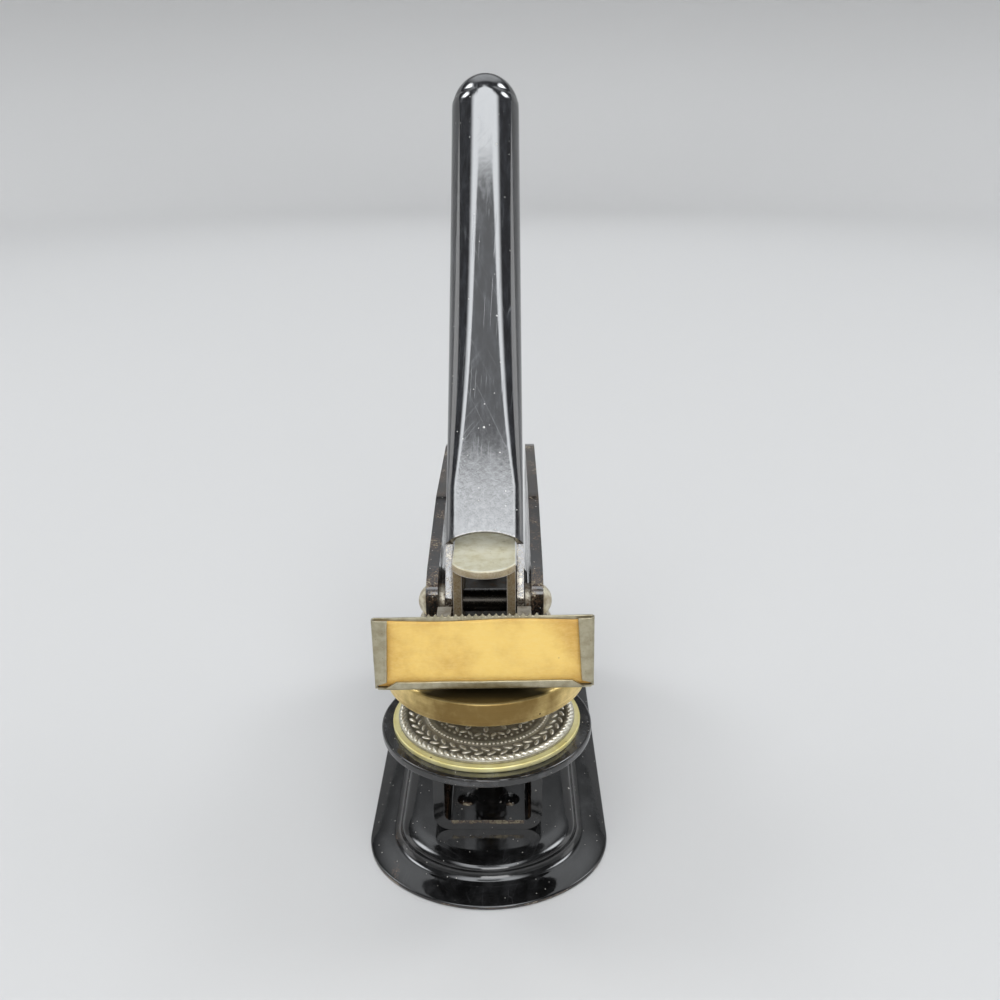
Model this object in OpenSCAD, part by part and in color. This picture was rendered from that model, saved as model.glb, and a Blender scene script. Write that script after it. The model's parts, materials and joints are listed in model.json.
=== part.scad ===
// Desk seal embosser: a hand lever on a folded steel frame drives a brass die
// down onto an engraved die.  +Z is up, the dies face -Y, +X is to the right.
// The origin is on the table, under the centre of the outline's box.

/* [Base] */
// Width of the stamped base
base_w = 57; // [54:0.5:64]
// Length of the stamped base, front to back
base_l = 127; // [122:1:150]
// Sheet thickness of the base
base_t = 1.6; // [1.2:0.1:1.7]
// Height of the raised platform above the table
platform_h = 6; // [5.8:0.1:8]
// Width of the flat flange round the platform
flange_w = 6.6; // [5:0.1:8]
// Height of the flange's top face
flange_h = 1.9; // [1.7:0.1:2.4]
// Radius of the two front corners of the base
front_r = 23.5; // [20:0.5:24]
// Depth of the rounded front of the base
front_depth = 25.6; // [25:0.1:28]
// Radius of the rear corners of the base
rear_r = 11; // [11:0.5:16]

/* [Frame] */
// Outside width of the folded frame
frame_w = 25.4; // [24.6:0.1:28]
// Plate thickness of the frame
frame_t = 2.6; // [2:0.1:2.7]
// Outside radius of the two folds under the frame
fold_r = 4; // [3.2:0.1:5]
// Length of the frame's foot on the platform
foot_l = 96; // [90:0.5:100]
// Clearance of the upper arm's lower edge over the brass die
throat_clear = 0.9; // [0.9:0.1:2.4]
// Throat depth behind the centre of the dies
throat_back = 27; // [26:0.5:30]
// Distance of the lower arm's front edge ahead of the dies' centre
arm_front = 2; // [0:0.5:6]
// Height of the frame's back above the pivot
crest_rise = 12.4; // [11.4:0.5:18]
// Radius of the frame's upper rear corner
crest_r = 12; // [6:0.5:20]
// Length of the four tongues that hold the anvil plate
tongue_l = 6; // [4:0.5:6]

/* [Dies] */
// Overhang of the anvil plate ahead of the base
overhang = 1.8; // [0:0.1:3]
// Diameter of the anvil plate
anvil_d = 47.6; // [47:0.1:52]
// Thickness of the anvil plate
anvil_t = 2; // [1.8:0.1:2.4]
// Diameter of the pale brass backing disc
backing_d = 42.4; // [41.5:0.1:46]
// Thickness of the backing disc
backing_t = 1.2; // [1:0.1:1.3]
// Diameter of the engraved lower die
lower_die_d = 39.8; // [39:0.1:41]
// Thickness of the engraved lower die
lower_die_t = 0.9; // [0.8:0.1:1]
// Radius of the rope border's strand
rope_r = 0.45; // [0.3:0.01:0.5]
// Radius of the bead ring on the lower die
bead_ring_r = 13.6; // [10:0.1:15]
// Diameter of the brass upper die
upper_die_d = 44.4; // [42:0.1:46]
// Thickness of the brass upper die
upper_die_t = 5.5; // [5:0.1:5.8]
// Diameter of the counter die under the brass
counter_d = 38.6; // [36:0.1:40]
// Thickness of the counter die
counter_t = 1.5; // [1.2:0.1:1.7]
// Gap that is left between the dies when the lever is fully down
press_gap = 0.15; // [0.05:0.05:0.4]

/* [Ram] */
// Thickness of the ram block
ram_t = 5.2; // [4.6:0.1:5.3]
// Reach of the ram block ahead of the dies' centre
ram_front = 13.5; // [10:0.5:14]
// Reach of the ram block behind the guide post
ram_back = 6; // [5:0.5:8]
// Working travel of the ram
ram_travel = 7.4; // [6.4:0.1:7.5]
// Sheet thickness of the stirrup
stirrup_t = 1.9; // [1.5:0.1:2]
// Depth of the stirrup's legs, front to back
stirrup_leg = 18; // [16:0.5:20]
// Reach of the stirrup's cap ahead of the pivot
cap_front = 11.6; // [10:0.1:12]
// Reach of the stirrup's cap behind the pivot
cap_back = 10.2; // [9:0.1:11]

/* [Pivot] */
// Distance of the pivot behind the dies' centre
pivot_back = 2.5; // [2:0.1:4]
// Height of the pivot above the table
pivot_h = 63.6; // [60:0.1:70]
// Diameter of the pivot pin
pin_d = 5; // [4.4:0.1:5.2]
// Diameter of the pin's domed heads
head_d = 6.8; // [6:0.1:8]
// Height of the pin's domed heads
head_h = 2; // [1.4:0.1:2.4]
// Diameter of the spacing washers on the pin
washer_d = 7.4; // [7:0.1:8]
// Thickness of the spacing washers
washer_t = 1.5; // [1.2:0.05:2]

/* [Lever] */
// Sheet thickness of the lever
lever_t = 1.5; // [1.2:0.1:1.6]
// Length of the lever from the pivot to its tip
lever_l = 134.5; // [120:1:150]
// Angle of the lever above the horizontal at rest
lever_lean = 54.5; // [50:0.5:58]
// Angle that the lever turns through
lever_turn = 45; // [40:1:46]
// Height of the lever's back above the pivot line
lever_rise = 8; // [7.8:0.1:8.6]
// Depth of the lever's side walls below the pivot line
lever_drop = 3.6; // [3:0.1:5]
// Fold radius of the lever beside the pivot
fold_root = 2.3; // [2:0.1:3]
// Distance from the pivot to the corners of the arched front edge
arch_start = 11.3; // [11.3:0.1:12]
// Rise of the arch in the lever's front edge
arch_rise = 2.3; // [1.5:0.1:3]
// Height of the pin's centre above the ram block at rest, where the cams start
cam_start = 6.3; // [6:0.1:7]

/* [Guide and spring] */
// Distance of the guide post behind the dies' centre
post_back = 30.5; // [30:0.5:34]
// Diameter of the guide post's upper part
post_d = 5; // [4:0.1:5.4]
// Diameter of the guide post's lower part
post_foot_d = 6.8; // [6.2:0.1:8]
// Height of the shoulder that carries the spring
seat_h = 25; // [20:0.5:28]
// Height of the guide post's top above the ram block
post_proud = 2.7; // [1.7:0.1:4]
// Diameter of the spring's wire
wire_d = 0.9; // [0.7:0.05:1.1]
// Mean diameter of the spring
spring_d = 7.8; // [7.5:0.1:9]
// Number of turns in the spring
spring_turns = 8.5; // [6:0.5:9]

/* [Label holder] */
// Width of the label frame
label_w = 45; // [40:0.5:48]
// Height of the label frame
label_h = 17; // [15:0.5:18]
// Distance of the label frame's lower edge below the pivot
label_drop = 10.4; // [9.8:0.1:10.6]
// Distance of the label frame's front ahead of the dies' centre
label_front = 18.4; // [17:0.1:19.5]
// Sheet thickness of the label frame
label_t = 0.5; // [0.4:0.05:0.6]
// Depth of the label frame, front to back
label_depth = 1.9; // [1.6:0.1:2.2]
// Width of the folded side lips
side_lip = 2.6; // [1.8:0.1:3]
// Height of the folded lower lip
lower_lip = 1.6; // [1.2:0.1:2]
// Number of teeth on the upper edge
teeth = 13; // [9:2:17]
// Pitch of the teeth
tooth_pitch = 2; // [1.6:0.1:2.2]
// Thickness of the card
card_t = 0.35; // [0.25:0.05:0.5]
// Sheet thickness of the holder's bracket
bracket_t = 1; // [0.8:0.1:1.2]

/* [Fits] */
// Clearance between moving pieces that pass each other
gap = 0.3; // [0.3:0.01:0.35]
// Radial clearance of a running fit
running = 0.06; // [0.03:0.01:0.09]
// Side play of the lever between its washers
side_play = 0.1; // [0.05:0.05:0.2]
// Diameter of the small rivets
rivet_d = 3; // [2.4:0.1:3.4]
// Diameter of the die screws
screw_d = 4; // [3.4:0.1:4.4]
// Diameter of the die screws' heads
screw_head_d = 7.2; // [6.4:0.1:7.6]

/* [Hidden] */
eps = 0.01;

// Places along the length of the object
whole_l = base_l + overhang;
die_y = -whole_l / 2 + anvil_d / 2;
base_y0 = -whole_l / 2 + overhang;
base_y1 = whole_l / 2;
pin_y = die_y + pivot_back;
post_y = die_y + post_back;
arm_y0 = die_y - arm_front;
ear_y0 = pin_y - 5.4;
foot_y1 = arm_y0 + foot_l;

// Widths of what lies between the frame's plates, from the outside in
inner_w = frame_w - 2 * frame_t;
ram_w = inner_w - 2 * gap;
lever_w = inner_w - 2 * (washer_t + side_play);
stirrup_w = lever_w - 2 * lever_t - 2 * gap;

// Heights from the pivot down: the ram under its cams, the opening, the lower stack
ram_top = pivot_h - cam_start;
ram_z = ram_top - ram_t;
upper_die_z = ram_z - upper_die_t;
lower_die_z = upper_die_z - counter_t - ram_travel - press_gap - rope_r;
backing_z = lower_die_z - lower_die_t;
anvil_z = backing_z - backing_t;
arm_h = anvil_z - anvil_t;

// Other heights that follow from these
web_z = platform_h + frame_t;
throat_top = ram_z + throat_clear;
crest_h = pivot_h + crest_rise;
post_h = ram_top + post_proud;
label_z = pivot_h - label_drop;
cap_z = pivot_h + ram_travel + pin_d / 2 + gap;
cam_rate = ram_travel / (lever_turn * PI / 180);
seat_t = 1;
spring_z0 = seat_h + seat_t;

// A point of the lever, at rest: distance along it and height over its line
function on_lever(u, p) = [u * cos(lever_lean) - p * sin(lever_lean),
                           u * sin(lever_lean) + p * cos(lever_lean)];

// Corner arc of radius r at b, between a and c
function corner(a, b, c, r, n) =
    r <= 0 ? [b] :
    let (u = (a - b) / norm(a - b),
         v = (c - b) / norm(c - b),
         half = acos(u * v) / 2,
         m = b + (u + v) / norm(u + v) * r / sin(half),
         p = b + u * r / tan(half) - m,
         q = b + v * r / tan(half) - m,
         a0 = atan2(p.y, p.x),
         turn = (atan2(q.y, q.x) - a0 + 540) % 360 - 180)
    [for (i = [0:n]) m + r * [cos(a0 + turn * i / n), sin(a0 + turn * i / n)]];

// Outline through points given as [x, y, corner radius]
function rounded(pts, n = 6) =
    let (c = len(pts), xy = [for (p = pts) [p.x, p.y]])
    [for (i = [0:c - 1])
        each corner(xy[(i + c - 1) % c], xy[i], xy[(i + 1) % c], pts[i].z, n)];

// Arc of n steps about m
function arc(m, r, a0, a1, n) =
    [for (i = [0:n]) m + r * [cos(a0 + (a1 - a0) * i / n), sin(a0 + (a1 - a0) * i / n)]];

// Solid through rings of equal point count, closed at both ends
module loft(rings) {
    n = len(rings[0]);
    m = len(rings);
    sides = [for (j = [0:m - 2], i = [0:n - 1])
        each [[j * n + i, j * n + (i + 1) % n, (j + 1) * n + (i + 1) % n],
              [j * n + i, (j + 1) * n + (i + 1) % n, (j + 1) * n + i]]];
    ends = [[for (i = [n - 1:-1:0]) i], [for (i = [0:n - 1]) (m - 1) * n + i]];
    polyhedron(points = [for (r = rings) each r], faces = concat(sides, ends), convexity = 6);
}

// A profile drawn in Y and Z, given thickness along X and centred on it
module slab(w) {
    rotate([90, 0, 90])
        linear_extrude(w, center = true)
            children();
}

// A round bar along X
module bar(d, w, x = 0) {
    translate([x, 0, 0])
        rotate([0, 90, 0])
            cylinder(d = d, h = w, center = true, $fn = 48);
}

// Domed head with its flat side on Z = 0
module dome(d, h) {
    r = (d * d / 4 + h * h) / (2 * h);
    intersection() {
        translate([0, 0, h - r])
            sphere(r = r, $fn = 64);
        cylinder(d = d, h = h, $fn = 48);
    }
}

module at_pivot() {
    translate([0, pin_y, pivot_h])
        children();
}

// ---- base -------------------------------------------------------------

front_big_r = (pow(base_w / 2, 2) + pow(front_depth, 2) - base_w * front_r)
              / (2 * (front_depth - front_r));
front_turn = atan2(front_big_r - front_depth, base_w / 2 - front_r);
shoulder_r = 2.6;
fillet_r = 1.5;

// Plan outline of the base, drawn in by d
function base_outline(d) =
    let (sx = base_w / 2 - front_r,
         sy = base_y0 + front_depth,
         rx = base_w / 2 - rear_r,
         ry = base_y1 - rear_r)
    concat(arc([0, base_y0 + front_big_r], front_big_r - d, front_turn - 180, -front_turn, 12),
           [for (i = [1:8]) [sx, sy] + (front_r - d) * [cos(front_turn * (i / 8 - 1)),
                                                        sin(front_turn * (i / 8 - 1))]],
           arc([rx, ry], rear_r - d, 0, 90, 6),
           arc([-rx, ry], rear_r - d, 90, 180, 6),
           [for (i = [0:7]) [-sx, sy] + (front_r - d) * [cos(180 + front_turn * i / 8),
                                                         sin(180 + front_turn * i / 8)]]);

function base_ring(d, z) = [for (p = base_outline(d)) [p.x, p.y, z]];

// Skin of the stamping from the top of the platform out to the rim: [inset, height]
function skin() =
    let (top = flange_w + fillet_r + shoulder_r)
    concat([for (a = [90:-15:15]) [top - shoulder_r * cos(a), platform_h - shoulder_r * (1 - sin(a))]],
           [for (a = [0:30:90]) [flange_w + fillet_r * (1 - sin(a)),
                                 flange_h + fillet_r * (1 - cos(a))]],
           [[0.7, flange_h - 0.3], [0.15, flange_h - 0.7], [0, flange_h - 1.2], [0, 0]]);

module base() {
    outer = skin();
    inner_foot = flange_w + base_t;
    inner = [[inner_foot, 0],
             [inner_foot + 0.9, platform_h - base_t - 1.4],
             [inner_foot + 1.5, platform_h - base_t - 0.5],
             [inner_foot + 2.8, platform_h - base_t]];
    color("black")
        difference() {
            loft([for (s = reverse(concat(outer, inner))) base_ring(s.x, s.y)]);
            frame_rivet_places()
                translate([0, 0, platform_h - base_t - 1])
                    cylinder(d = rivet_d, h = base_t + 2, $fn = 32);
            translate([0, post_y, platform_h - base_t - 1])
                cylinder(d = rivet_d + 1, h = base_t + 2, $fn = 32);
        }
}

function reverse(v) = [for (i = [len(v) - 1:-1:0]) v[i]];

// ---- frame ------------------------------------------------------------

rivet_y = [arm_y0 + 8, foot_y1 - 12];

module frame_rivet_places() {
    for (x = [-1, 1], y = rivet_y)
        translate([x * inner_w / 4, y, 0])
            children();
}

brow_y = pin_y + 33.5;
brow_r = 30;
ear_top = [6.5, 7.3];
ear_front = 4.6;
ear_r = 8;
back_lean = 4;
throat_r = 5;
heel_r = 6;
nose_r = 1.5;

// Side view of the frame, one outline with the throat between its two arms
function frame_outline() =
    rounded([[arm_y0, platform_h, 0],
             [foot_y1, platform_h, heel_r],
             [foot_y1 - back_lean, crest_h, crest_r],
             [brow_y, crest_h, brow_r],
             [ear_y0 + ear_top.x, pivot_h + ear_top.y, ear_r],
             [ear_y0, pivot_h + ear_front, 2 * nose_r],
             [ear_y0, throat_top, nose_r],
             [die_y + throat_back, throat_top, throat_r],
             [die_y + throat_back, arm_h, throat_r],
             [arm_y0, arm_h, nose_r]]);

// Four tongues through the anvil plate, or with over the slots that they fill
module tongues(over = 0) {
    for (x = [-1, 1], y = [4, 13])
        translate([x * (frame_w - frame_t) / 2 - frame_t / 2, die_y + y - tongue_l / 2, arm_h - 1])
            cube([frame_t, tongue_l, 1 + anvil_t + over]);
}

module frame() {
    color("black")
        difference() {
            union() {
                intersection() {
                    slab(frame_w)
                        polygon(frame_outline());
                    translate([0, arm_y0 - 5, 0])
                        rotate([-90, 0, 0])
                            linear_extrude(foot_l + 10)
                                mirror([0, 1])
                                    frame_section();
                }
                tongues();
            }
            frame_rivet_places()
                cylinder(d = rivet_d, h = web_z + 1, $fn = 32);
            translate([0, post_y, 0])
                cylinder(d = rivet_d + 1, h = web_z + 1, $fn = 32);
            at_pivot()
                bar(pin_d, frame_w + 2);
            bracket_rivet_places()
                bar(rivet_d, frame_w + 2);
        }
}

// Upright channel section with two round folds
module frame_section() {
    difference() {
        union() {
            translate([-frame_w / 2, platform_h + fold_r])
                square([frame_w, crest_h]);
            translate([-frame_w / 2 + fold_r, platform_h])
                square([frame_w - 2 * fold_r, fold_r + 1]);
            for (x = [-1, 1])
                translate([x * (frame_w / 2 - fold_r), platform_h + fold_r])
                    circle(r = fold_r, $fn = 48);
        }
        translate([-inner_w / 2, platform_h + fold_r])
            square([inner_w, crest_h + 1]);
        translate([-frame_w / 2 + fold_r, web_z])
            square([frame_w - 2 * fold_r, fold_r]);
        for (x = [-1, 1])
            translate([x * (frame_w / 2 - fold_r), platform_h + fold_r])
                circle(r = fold_r - frame_t, $fn = 48);
    }
}

module frame_rivets() {
    color("dimgray")
        frame_rivet_places() {
            translate([0, 0, platform_h - base_t])
                cylinder(d = rivet_d, h = base_t + frame_t, $fn = 32);
            translate([0, 0, web_z])
                dome(rivet_d + 2, 1.2);
            translate([0, 0, platform_h - base_t])
                mirror([0, 0, 1])
                    dome(rivet_d + 2, 0.9);
        }
}

// ---- dies -------------------------------------------------------------

module anvil_plate() {
    edge = 0.3;
    color("black")
        difference() {
            translate([0, die_y, arm_h])
                rotate_extrude($fn = 96)
                    polygon([[0, 0],
                             [anvil_d / 2 - edge, 0],
                             [anvil_d / 2, edge],
                             [anvil_d / 2, anvil_t - edge],
                             [anvil_d / 2 - edge, anvil_t],
                             [0, anvil_t]]);
            tongues(1);
            translate([0, die_y, arm_h - 1])
                cylinder(d = screw_d, h = anvil_t + 2, $fn = 32);
        }
}

module backing_disc() {
    color("khaki")
        translate([0, die_y, anvil_z])
            difference() {
                cylinder(d = backing_d, h = backing_t, $fn = 96);
                translate([0, 0, -1])
                    cylinder(d = screw_d, h = backing_t + 2, $fn = 32);
            }
}

// Engraved die: rope border, two fillets and a ring for the beads
module lower_die() {
    rim = lower_die_d / 2;
    color("silver")
        translate([0, die_y, backing_z])
            difference() {
                union() {
                    cylinder(r = rim, h = lower_die_t, $fn = 96);
                    translate([0, 0, lower_die_t])
                        rotate_extrude($fn = 96) {
                            translate([rim - rope_r - 0.1, 0])
                                circle(r = rope_r, $fn = 24);
                            translate([bead_ring_r, 0])
                                circle(r = 0.28, $fn = 24);
                        }
                }
                translate([0, 0, -1])
                    cylinder(d = screw_d, h = lower_die_t + 0.6, $fn = 32);
            }
}

// Screw with its slotted head on Z = 0, its shank up to Z = l
module die_screw(l, head) {
    difference() {
        union() {
            cylinder(d = screw_d, h = l, $fn = 32);
            translate([0, 0, -head])
                cylinder(d = screw_head_d, h = head, $fn = 40);
        }
        translate([-screw_head_d, -0.5, -head - 1])
            cube([2 * screw_head_d, 1, 1.9]);
    }
}

module lower_die_screw() {
    color("dimgray")
        translate([0, die_y, arm_h])
            die_screw(anvil_t + backing_t + lower_die_t - 0.4, 2.2);
}

module upper_die() {
    edge = 0.4;
    color("goldenrod")
        translate([0, die_y, upper_die_z])
            difference() {
                rotate_extrude($fn = 96)
                    polygon([[0, 0],
                             [upper_die_d / 2 - edge, 0],
                             [upper_die_d / 2, edge],
                             [upper_die_d / 2, upper_die_t - edge],
                             [upper_die_d / 2 - edge, upper_die_t],
                             [0, upper_die_t]]);
                translate([0, 0, 1])
                    cylinder(d = screw_d, h = upper_die_t, $fn = 32);
            }
}

// Counter die: its sunk rings answer the raised rings of the lower die
module counter_die() {
    ring = counter_d / 2;
    color("darkgoldenrod")
        translate([0, die_y, upper_die_z - counter_t])
            difference() {
                cylinder(r = ring, h = counter_t, $fn = 96);
                rotate_extrude($fn = 96) {
                    translate([ring - rope_r - 0.6, 0])
                        circle(r = rope_r, $fn = 24);
                    translate([bead_ring_r, 0])
                        circle(r = 0.35, $fn = 24);
                }
            }
}

module upper_die_screw() {
    color("dimgray")
        translate([0, die_y, ram_top])
            mirror([0, 0, 1])
                die_screw(ram_t + upper_die_t - 1.2, 2);
}

// ---- ram --------------------------------------------------------------

leg_y0 = pin_y - 7.1;
leg_seat = 3.2;

// Plan of the two legs where they stand in the ram block
module leg_plan() {
    for (x = [-1, 1])
        translate([x * (stirrup_w - stirrup_t) / 2 - stirrup_t / 2, leg_y0])
            square([stirrup_t, stirrup_leg]);
}

module ram_block() {
    y0 = die_y - ram_front;
    l = ram_front + post_back + ram_back;
    color("dimgray")
        difference() {
            translate([0, y0, ram_z])
                linear_extrude(ram_t)
                    polygon(rounded([[-ram_w / 2, 0, 3],
                                     [ram_w / 2, 0, 3],
                                     [ram_w / 2, l, 5],
                                     [-ram_w / 2, l, 5]]));
            translate([0, 0, ram_top - leg_seat])
                linear_extrude(leg_seat + 1)
                    leg_plan();
            translate([0, die_y, ram_z - 1])
                cylinder(d = screw_d, h = ram_t + 2, $fn = 32);
            translate([0, post_y, ram_z - 1])
                cylinder(r = post_d / 2 + running, h = ram_t + 2, $fn = 48);
        }
}

// Inverted U: a cap with a round front over two slotted legs
module stirrup() {
    half = stirrup_w / 2;
    cap_t = stirrup_t;
    cap_len = cap_front + cap_back;
    round_r = half + 0.5;
    slot_r = pin_d / 2 + running;
    color("lightgray")
        difference() {
            union() {
                translate([0, 0, cap_z])
                    linear_extrude(cap_t)
                        intersection() {
                            polygon(rounded([[-half, pin_y - cap_front, 0],
                                             [half, pin_y - cap_front, 0],
                                             [half, pin_y + cap_back, 3.2],
                                             [-half, pin_y + cap_back, 3.2]]));
                            translate([0, pin_y - cap_front + round_r])
                                union() {
                                    circle(r = round_r, $fn = 96);
                                    translate([-round_r, 0])
                                        square([2 * round_r, cap_len]);
                                }
                        }
                intersection() {
                    translate([0, 0, ram_top - leg_seat])
                        linear_extrude(cap_z - ram_top + leg_seat + eps)
                            leg_plan();
                    slab(stirrup_w + 1)
                        polygon(rounded([[leg_y0, ram_top - leg_seat, 0],
                                         [leg_y0 + stirrup_leg, ram_top - leg_seat, 0],
                                         [leg_y0 + stirrup_leg, cap_z - 8, 4],
                                         [pin_y + cap_back - 2, cap_z + 1, 0],
                                         [leg_y0, cap_z + 1, 0]]));
                }
            }
            for (x = [-1, 1])
                translate([x * (stirrup_w - stirrup_t) / 2, 0, 0])
                    slab(stirrup_t + 1) {
                        translate([pin_y, pivot_h])
                            circle(r = slot_r, $fn = 48);
                        translate([pin_y, pivot_h + ram_travel])
                            circle(r = slot_r, $fn = 48);
                        translate([pin_y - slot_r, pivot_h])
                            square([2 * slot_r, ram_travel]);
                    }
        }
}

// ---- lever ------------------------------------------------------------

boss_r = pin_d / 2 + 2;
tip_r = lever_w / 2;

// Flank of the cam, t degrees of lever travel after rest: its support
// distance grows at a steady rate, so the ram falls at a steady rate
function cam_point(t) =
    let (reach = cam_start + cam_rate * t * PI / 180)
    reach * [sin(t), -cos(t)] + cam_rate * [cos(t), sin(t)];

// Side view of the lever: nose in front of the pivot, cam lobe behind it, and
// the lower edge of the side walls out to the tip
module lever_side() {
    lobe_end = cam_point(lever_turn + 4);
    cam = [for (t = [0:3:lever_turn + 3]) cam_point(t)];
    clear = lever_rise + 4;
    difference() {
        union() {
            circle(r = boss_r, $fn = 64);
            polygon(rounded([concat(on_lever(arch_start - 0.5, lever_rise - 0.7), 0),
                             [-5.2, 3.4, 2],
                             [-4.2, -0.6, 1],
                             [0.5, -boss_r + 0.1, 0],
                             [2, 2, 0]]));
            polygon(concat([[0, -boss_r + 0.05]],
                           cam,
                           rounded([concat(lobe_end, 0),
                                    concat(lobe_end + [0.6, 1.8], 1),
                                    concat(on_lever(17, -lever_drop - 3.5), 6),
                                    concat(on_lever(28, -lever_drop), 6),
                                    concat(on_lever(40, -drop_at(40)), 0)]),
                           [for (u = [50:10:100]) on_lever(u, -drop_at(u))],
                           [on_lever(lever_l + 5, -drop_at(lever_l)),
                            on_lever(lever_l + 5, clear),
                            on_lever(arch_start - 0.5, clear),
                            on_lever(arch_start - 0.5, lever_rise - 0.7)]));
        }
        circle(r = pin_d / 2 + running, $fn = 64);
    }
}

// Fold radius and wall depth along the lever: flat-backed beside the pivot,
// half-round in the hand
function swell(u) =
    let (s = min(1, max(0, (u - 24) / 74)))
    s * s * (3 - 2 * s);
function fold_at(u) = fold_root + (lever_w / 2 - 0.05 - fold_root) * swell(u);
function drop_at(u) = lever_drop * (1 - 0.45 * swell(u));

// Closed section: half width w, top at p1, lower edge at p0, fold radius r
function channel(w, p0, p1, r, u) =
    let (k = min(r, w - 0.02, p1 - p0 - 0.02),
         xy = concat([[w, p0]],
                     arc([w - k, p1 - k], k, 0, 90, 7),
                     arc([-w + k, p1 - k], k, 90, 180, 7),
                     [[-w, p0]]))
    [for (q = xy) [q.x, u, q.y]];

// Rings of the lever's outside (t = 0) or of its hollow (t = wall)
function lever_rings(t, u0, p0) =
    let (um = lever_l - tip_r)
    concat([for (u = [u0, 24, 36, 48, 60, 72, 84, 96, 110, um])
               channel(tip_r - t, p0, lever_rise - t, max(fold_at(u) - t, 0.6), u)],
           [for (a = [18:18:72])
               channel((tip_r - t) * cos(a), p0,
                       -1 + (lever_rise + 1 - t) * pow(cos(a), 0.7),
                       (tip_r - t) * cos(a), um + (tip_r - t) * sin(a))],
           [channel((tip_r - t) * 0.16, p0,
                    -1 + (lever_rise + 1 - t) * 0.3, (tip_r - t) * 0.1, um + (tip_r - t) * 0.99)]);

// Deep channel with a closed tip, trimmed to its side view; the arch frees the walls
module lever() {
    arch_half = lever_w / 2;
    arch_r = (arch_half * arch_half + arch_rise * arch_rise) / (2 * arch_rise);
    deep = -17;
    color("black")
        at_pivot()
            difference() {
                rotate([lever_lean, 0, 0])
                    difference() {
                        loft(lever_rings(0, -15, deep));
                        loft(lever_rings(lever_t, -18, deep - 4));
                        translate([0, arch_start + arch_rise - arch_r, lever_rise - fold_root - 0.1])
                            cylinder(r = arch_r, h = 6, $fn = 96);
                    }
                slab(lever_w + 2)
                    difference() {
                        square(3 * lever_l, center = true);
                        lever_side();
                    }
            }
}

// ---- pivot ------------------------------------------------------------

module pivot_pin() {
    color("gray")
        at_pivot() {
            bar(pin_d, frame_w);
            for (x = [-1, 1])
                translate([x * frame_w / 2, 0, 0])
                    rotate([0, x * 90, 0])
                        dome(head_d, head_h);
        }
}

module pivot_washers() {
    color("silver")
        at_pivot()
            for (x = [-1, 1])
                difference() {
                    bar(washer_d, washer_t, x * (inner_w - washer_t) / 2);
                    bar(pin_d, frame_w);
                }
}

// ---- guide and spring -------------------------------------------------

module guide_post() {
    color("gray")
        translate([0, post_y, 0])
            rotate_extrude($fn = 48)
                polygon([[0, platform_h - base_t],
                         [rivet_d / 2 + 0.5, platform_h - base_t],
                         [rivet_d / 2 + 0.5, web_z],
                         [post_foot_d / 2, web_z],
                         [post_foot_d / 2, seat_h],
                         [post_d / 2, seat_h],
                         [post_d / 2, post_h - 0.6],
                         [post_d / 2 - 0.6, post_h],
                         [0, post_h]]);
}

module spring_seat() {
    color("silver")
        translate([0, post_y, seat_h])
            difference() {
                cylinder(d = spring_d + 2, h = seat_t, $fn = 48);
                translate([0, 0, -1])
                    cylinder(d = post_d, h = seat_t + 2, $fn = 48);
            }
}

spring_rings = 8;
spring_play = 0.03;
spring_l = ram_z - spring_z0 - wire_d - 2 * spring_play;

// Point of the wire's centre line after k turns; the end turns lie closer
function spring_point(k) =
    let (f = k / spring_turns,
         rise = f - 0.055 * sin(360 * f))
    [spring_d / 2 * cos(360 * k), spring_d / 2 * sin(360 * k),
     spring_z0 + spring_play + wire_d / 2 + spring_l * rise];

function spring_ring(k) =
    let (c = spring_point(k),
         out = [cos(360 * k), sin(360 * k), 0],
         along = [-sin(360 * k), cos(360 * k), 0],
         t = spring_point(k + 0.01) - spring_point(k - 0.01),
         up = cross(out, t / norm(t)))
    [for (i = [5:-1:0]) c + wire_d / 2 * (cos(60 * i) * out + sin(60 * i) * up)];

spring_steps = [for (i = [0:spring_turns * spring_rings]) i / spring_rings];
spring_gap = min([for (i = spring_steps, j = spring_steps)
    if (j - i > 0.5) norm(spring_point(i) - spring_point(j))]) - wire_d;

module return_spring() {
    echo(least_gap_of_the_spring_to_itself = spring_gap);
    color("silver")
        translate([0, post_y, 0])
            loft([for (k = spring_steps) spring_ring(k)]);
}

// ---- label holder -----------------------------------------------------

label_y = die_y - label_front;
plate_y = label_y + label_depth;
strip_top = pivot_h + 2.4;
bracket_low = label_z + 1;
ear_rivet = [pin_y + 3.5, bracket_low + 2.9];

module bracket_rivet_places() {
    translate([0, ear_rivet.x, ear_rivet.y])
        children();
}

// Bent strip: a plate behind the label, two lugs on top, two arms on the frame
module label_bracket() {
    wide = frame_w + 2 * bracket_t;
    arm_end = ear_rivet.x + 3.2;
    lug_x = stirrup_w / 2 + gap;
    lug_w = inner_w / 2 - 0.2 - lug_x;
    color("lightgray")
        difference() {
            union() {
                translate([-inner_w / 2 + 0.2, plate_y, bracket_low])
                    cube([inner_w - 0.4, bracket_t, strip_top - bracket_low]);
                translate([-wide / 2, plate_y, bracket_low])
                    cube([wide, bracket_t, 5.8]);
                for (x = [-1, 1]) {
                    translate([x * (frame_w + bracket_t) / 2, 0, 0])
                        slab(bracket_t)
                            polygon(rounded([[plate_y, bracket_low, 0],
                                             [arm_end, bracket_low, 2.5],
                                             [arm_end, bracket_low + 5.8, 2.5],
                                             [plate_y, bracket_low + 5.8, 0]]));
                    translate([x * (lug_x + lug_w / 2) - lug_w / 2, plate_y, strip_top - bracket_t])
                        cube([lug_w, leg_y0 - plate_y - 1.2, bracket_t]);
                }
            }
            bracket_rivet_places()
                bar(rivet_d, wide + 2);
            label_rivet_places()
                cylinder(d = rivet_d - 1, h = 6, center = true, $fn = 32);
        }
}

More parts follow.
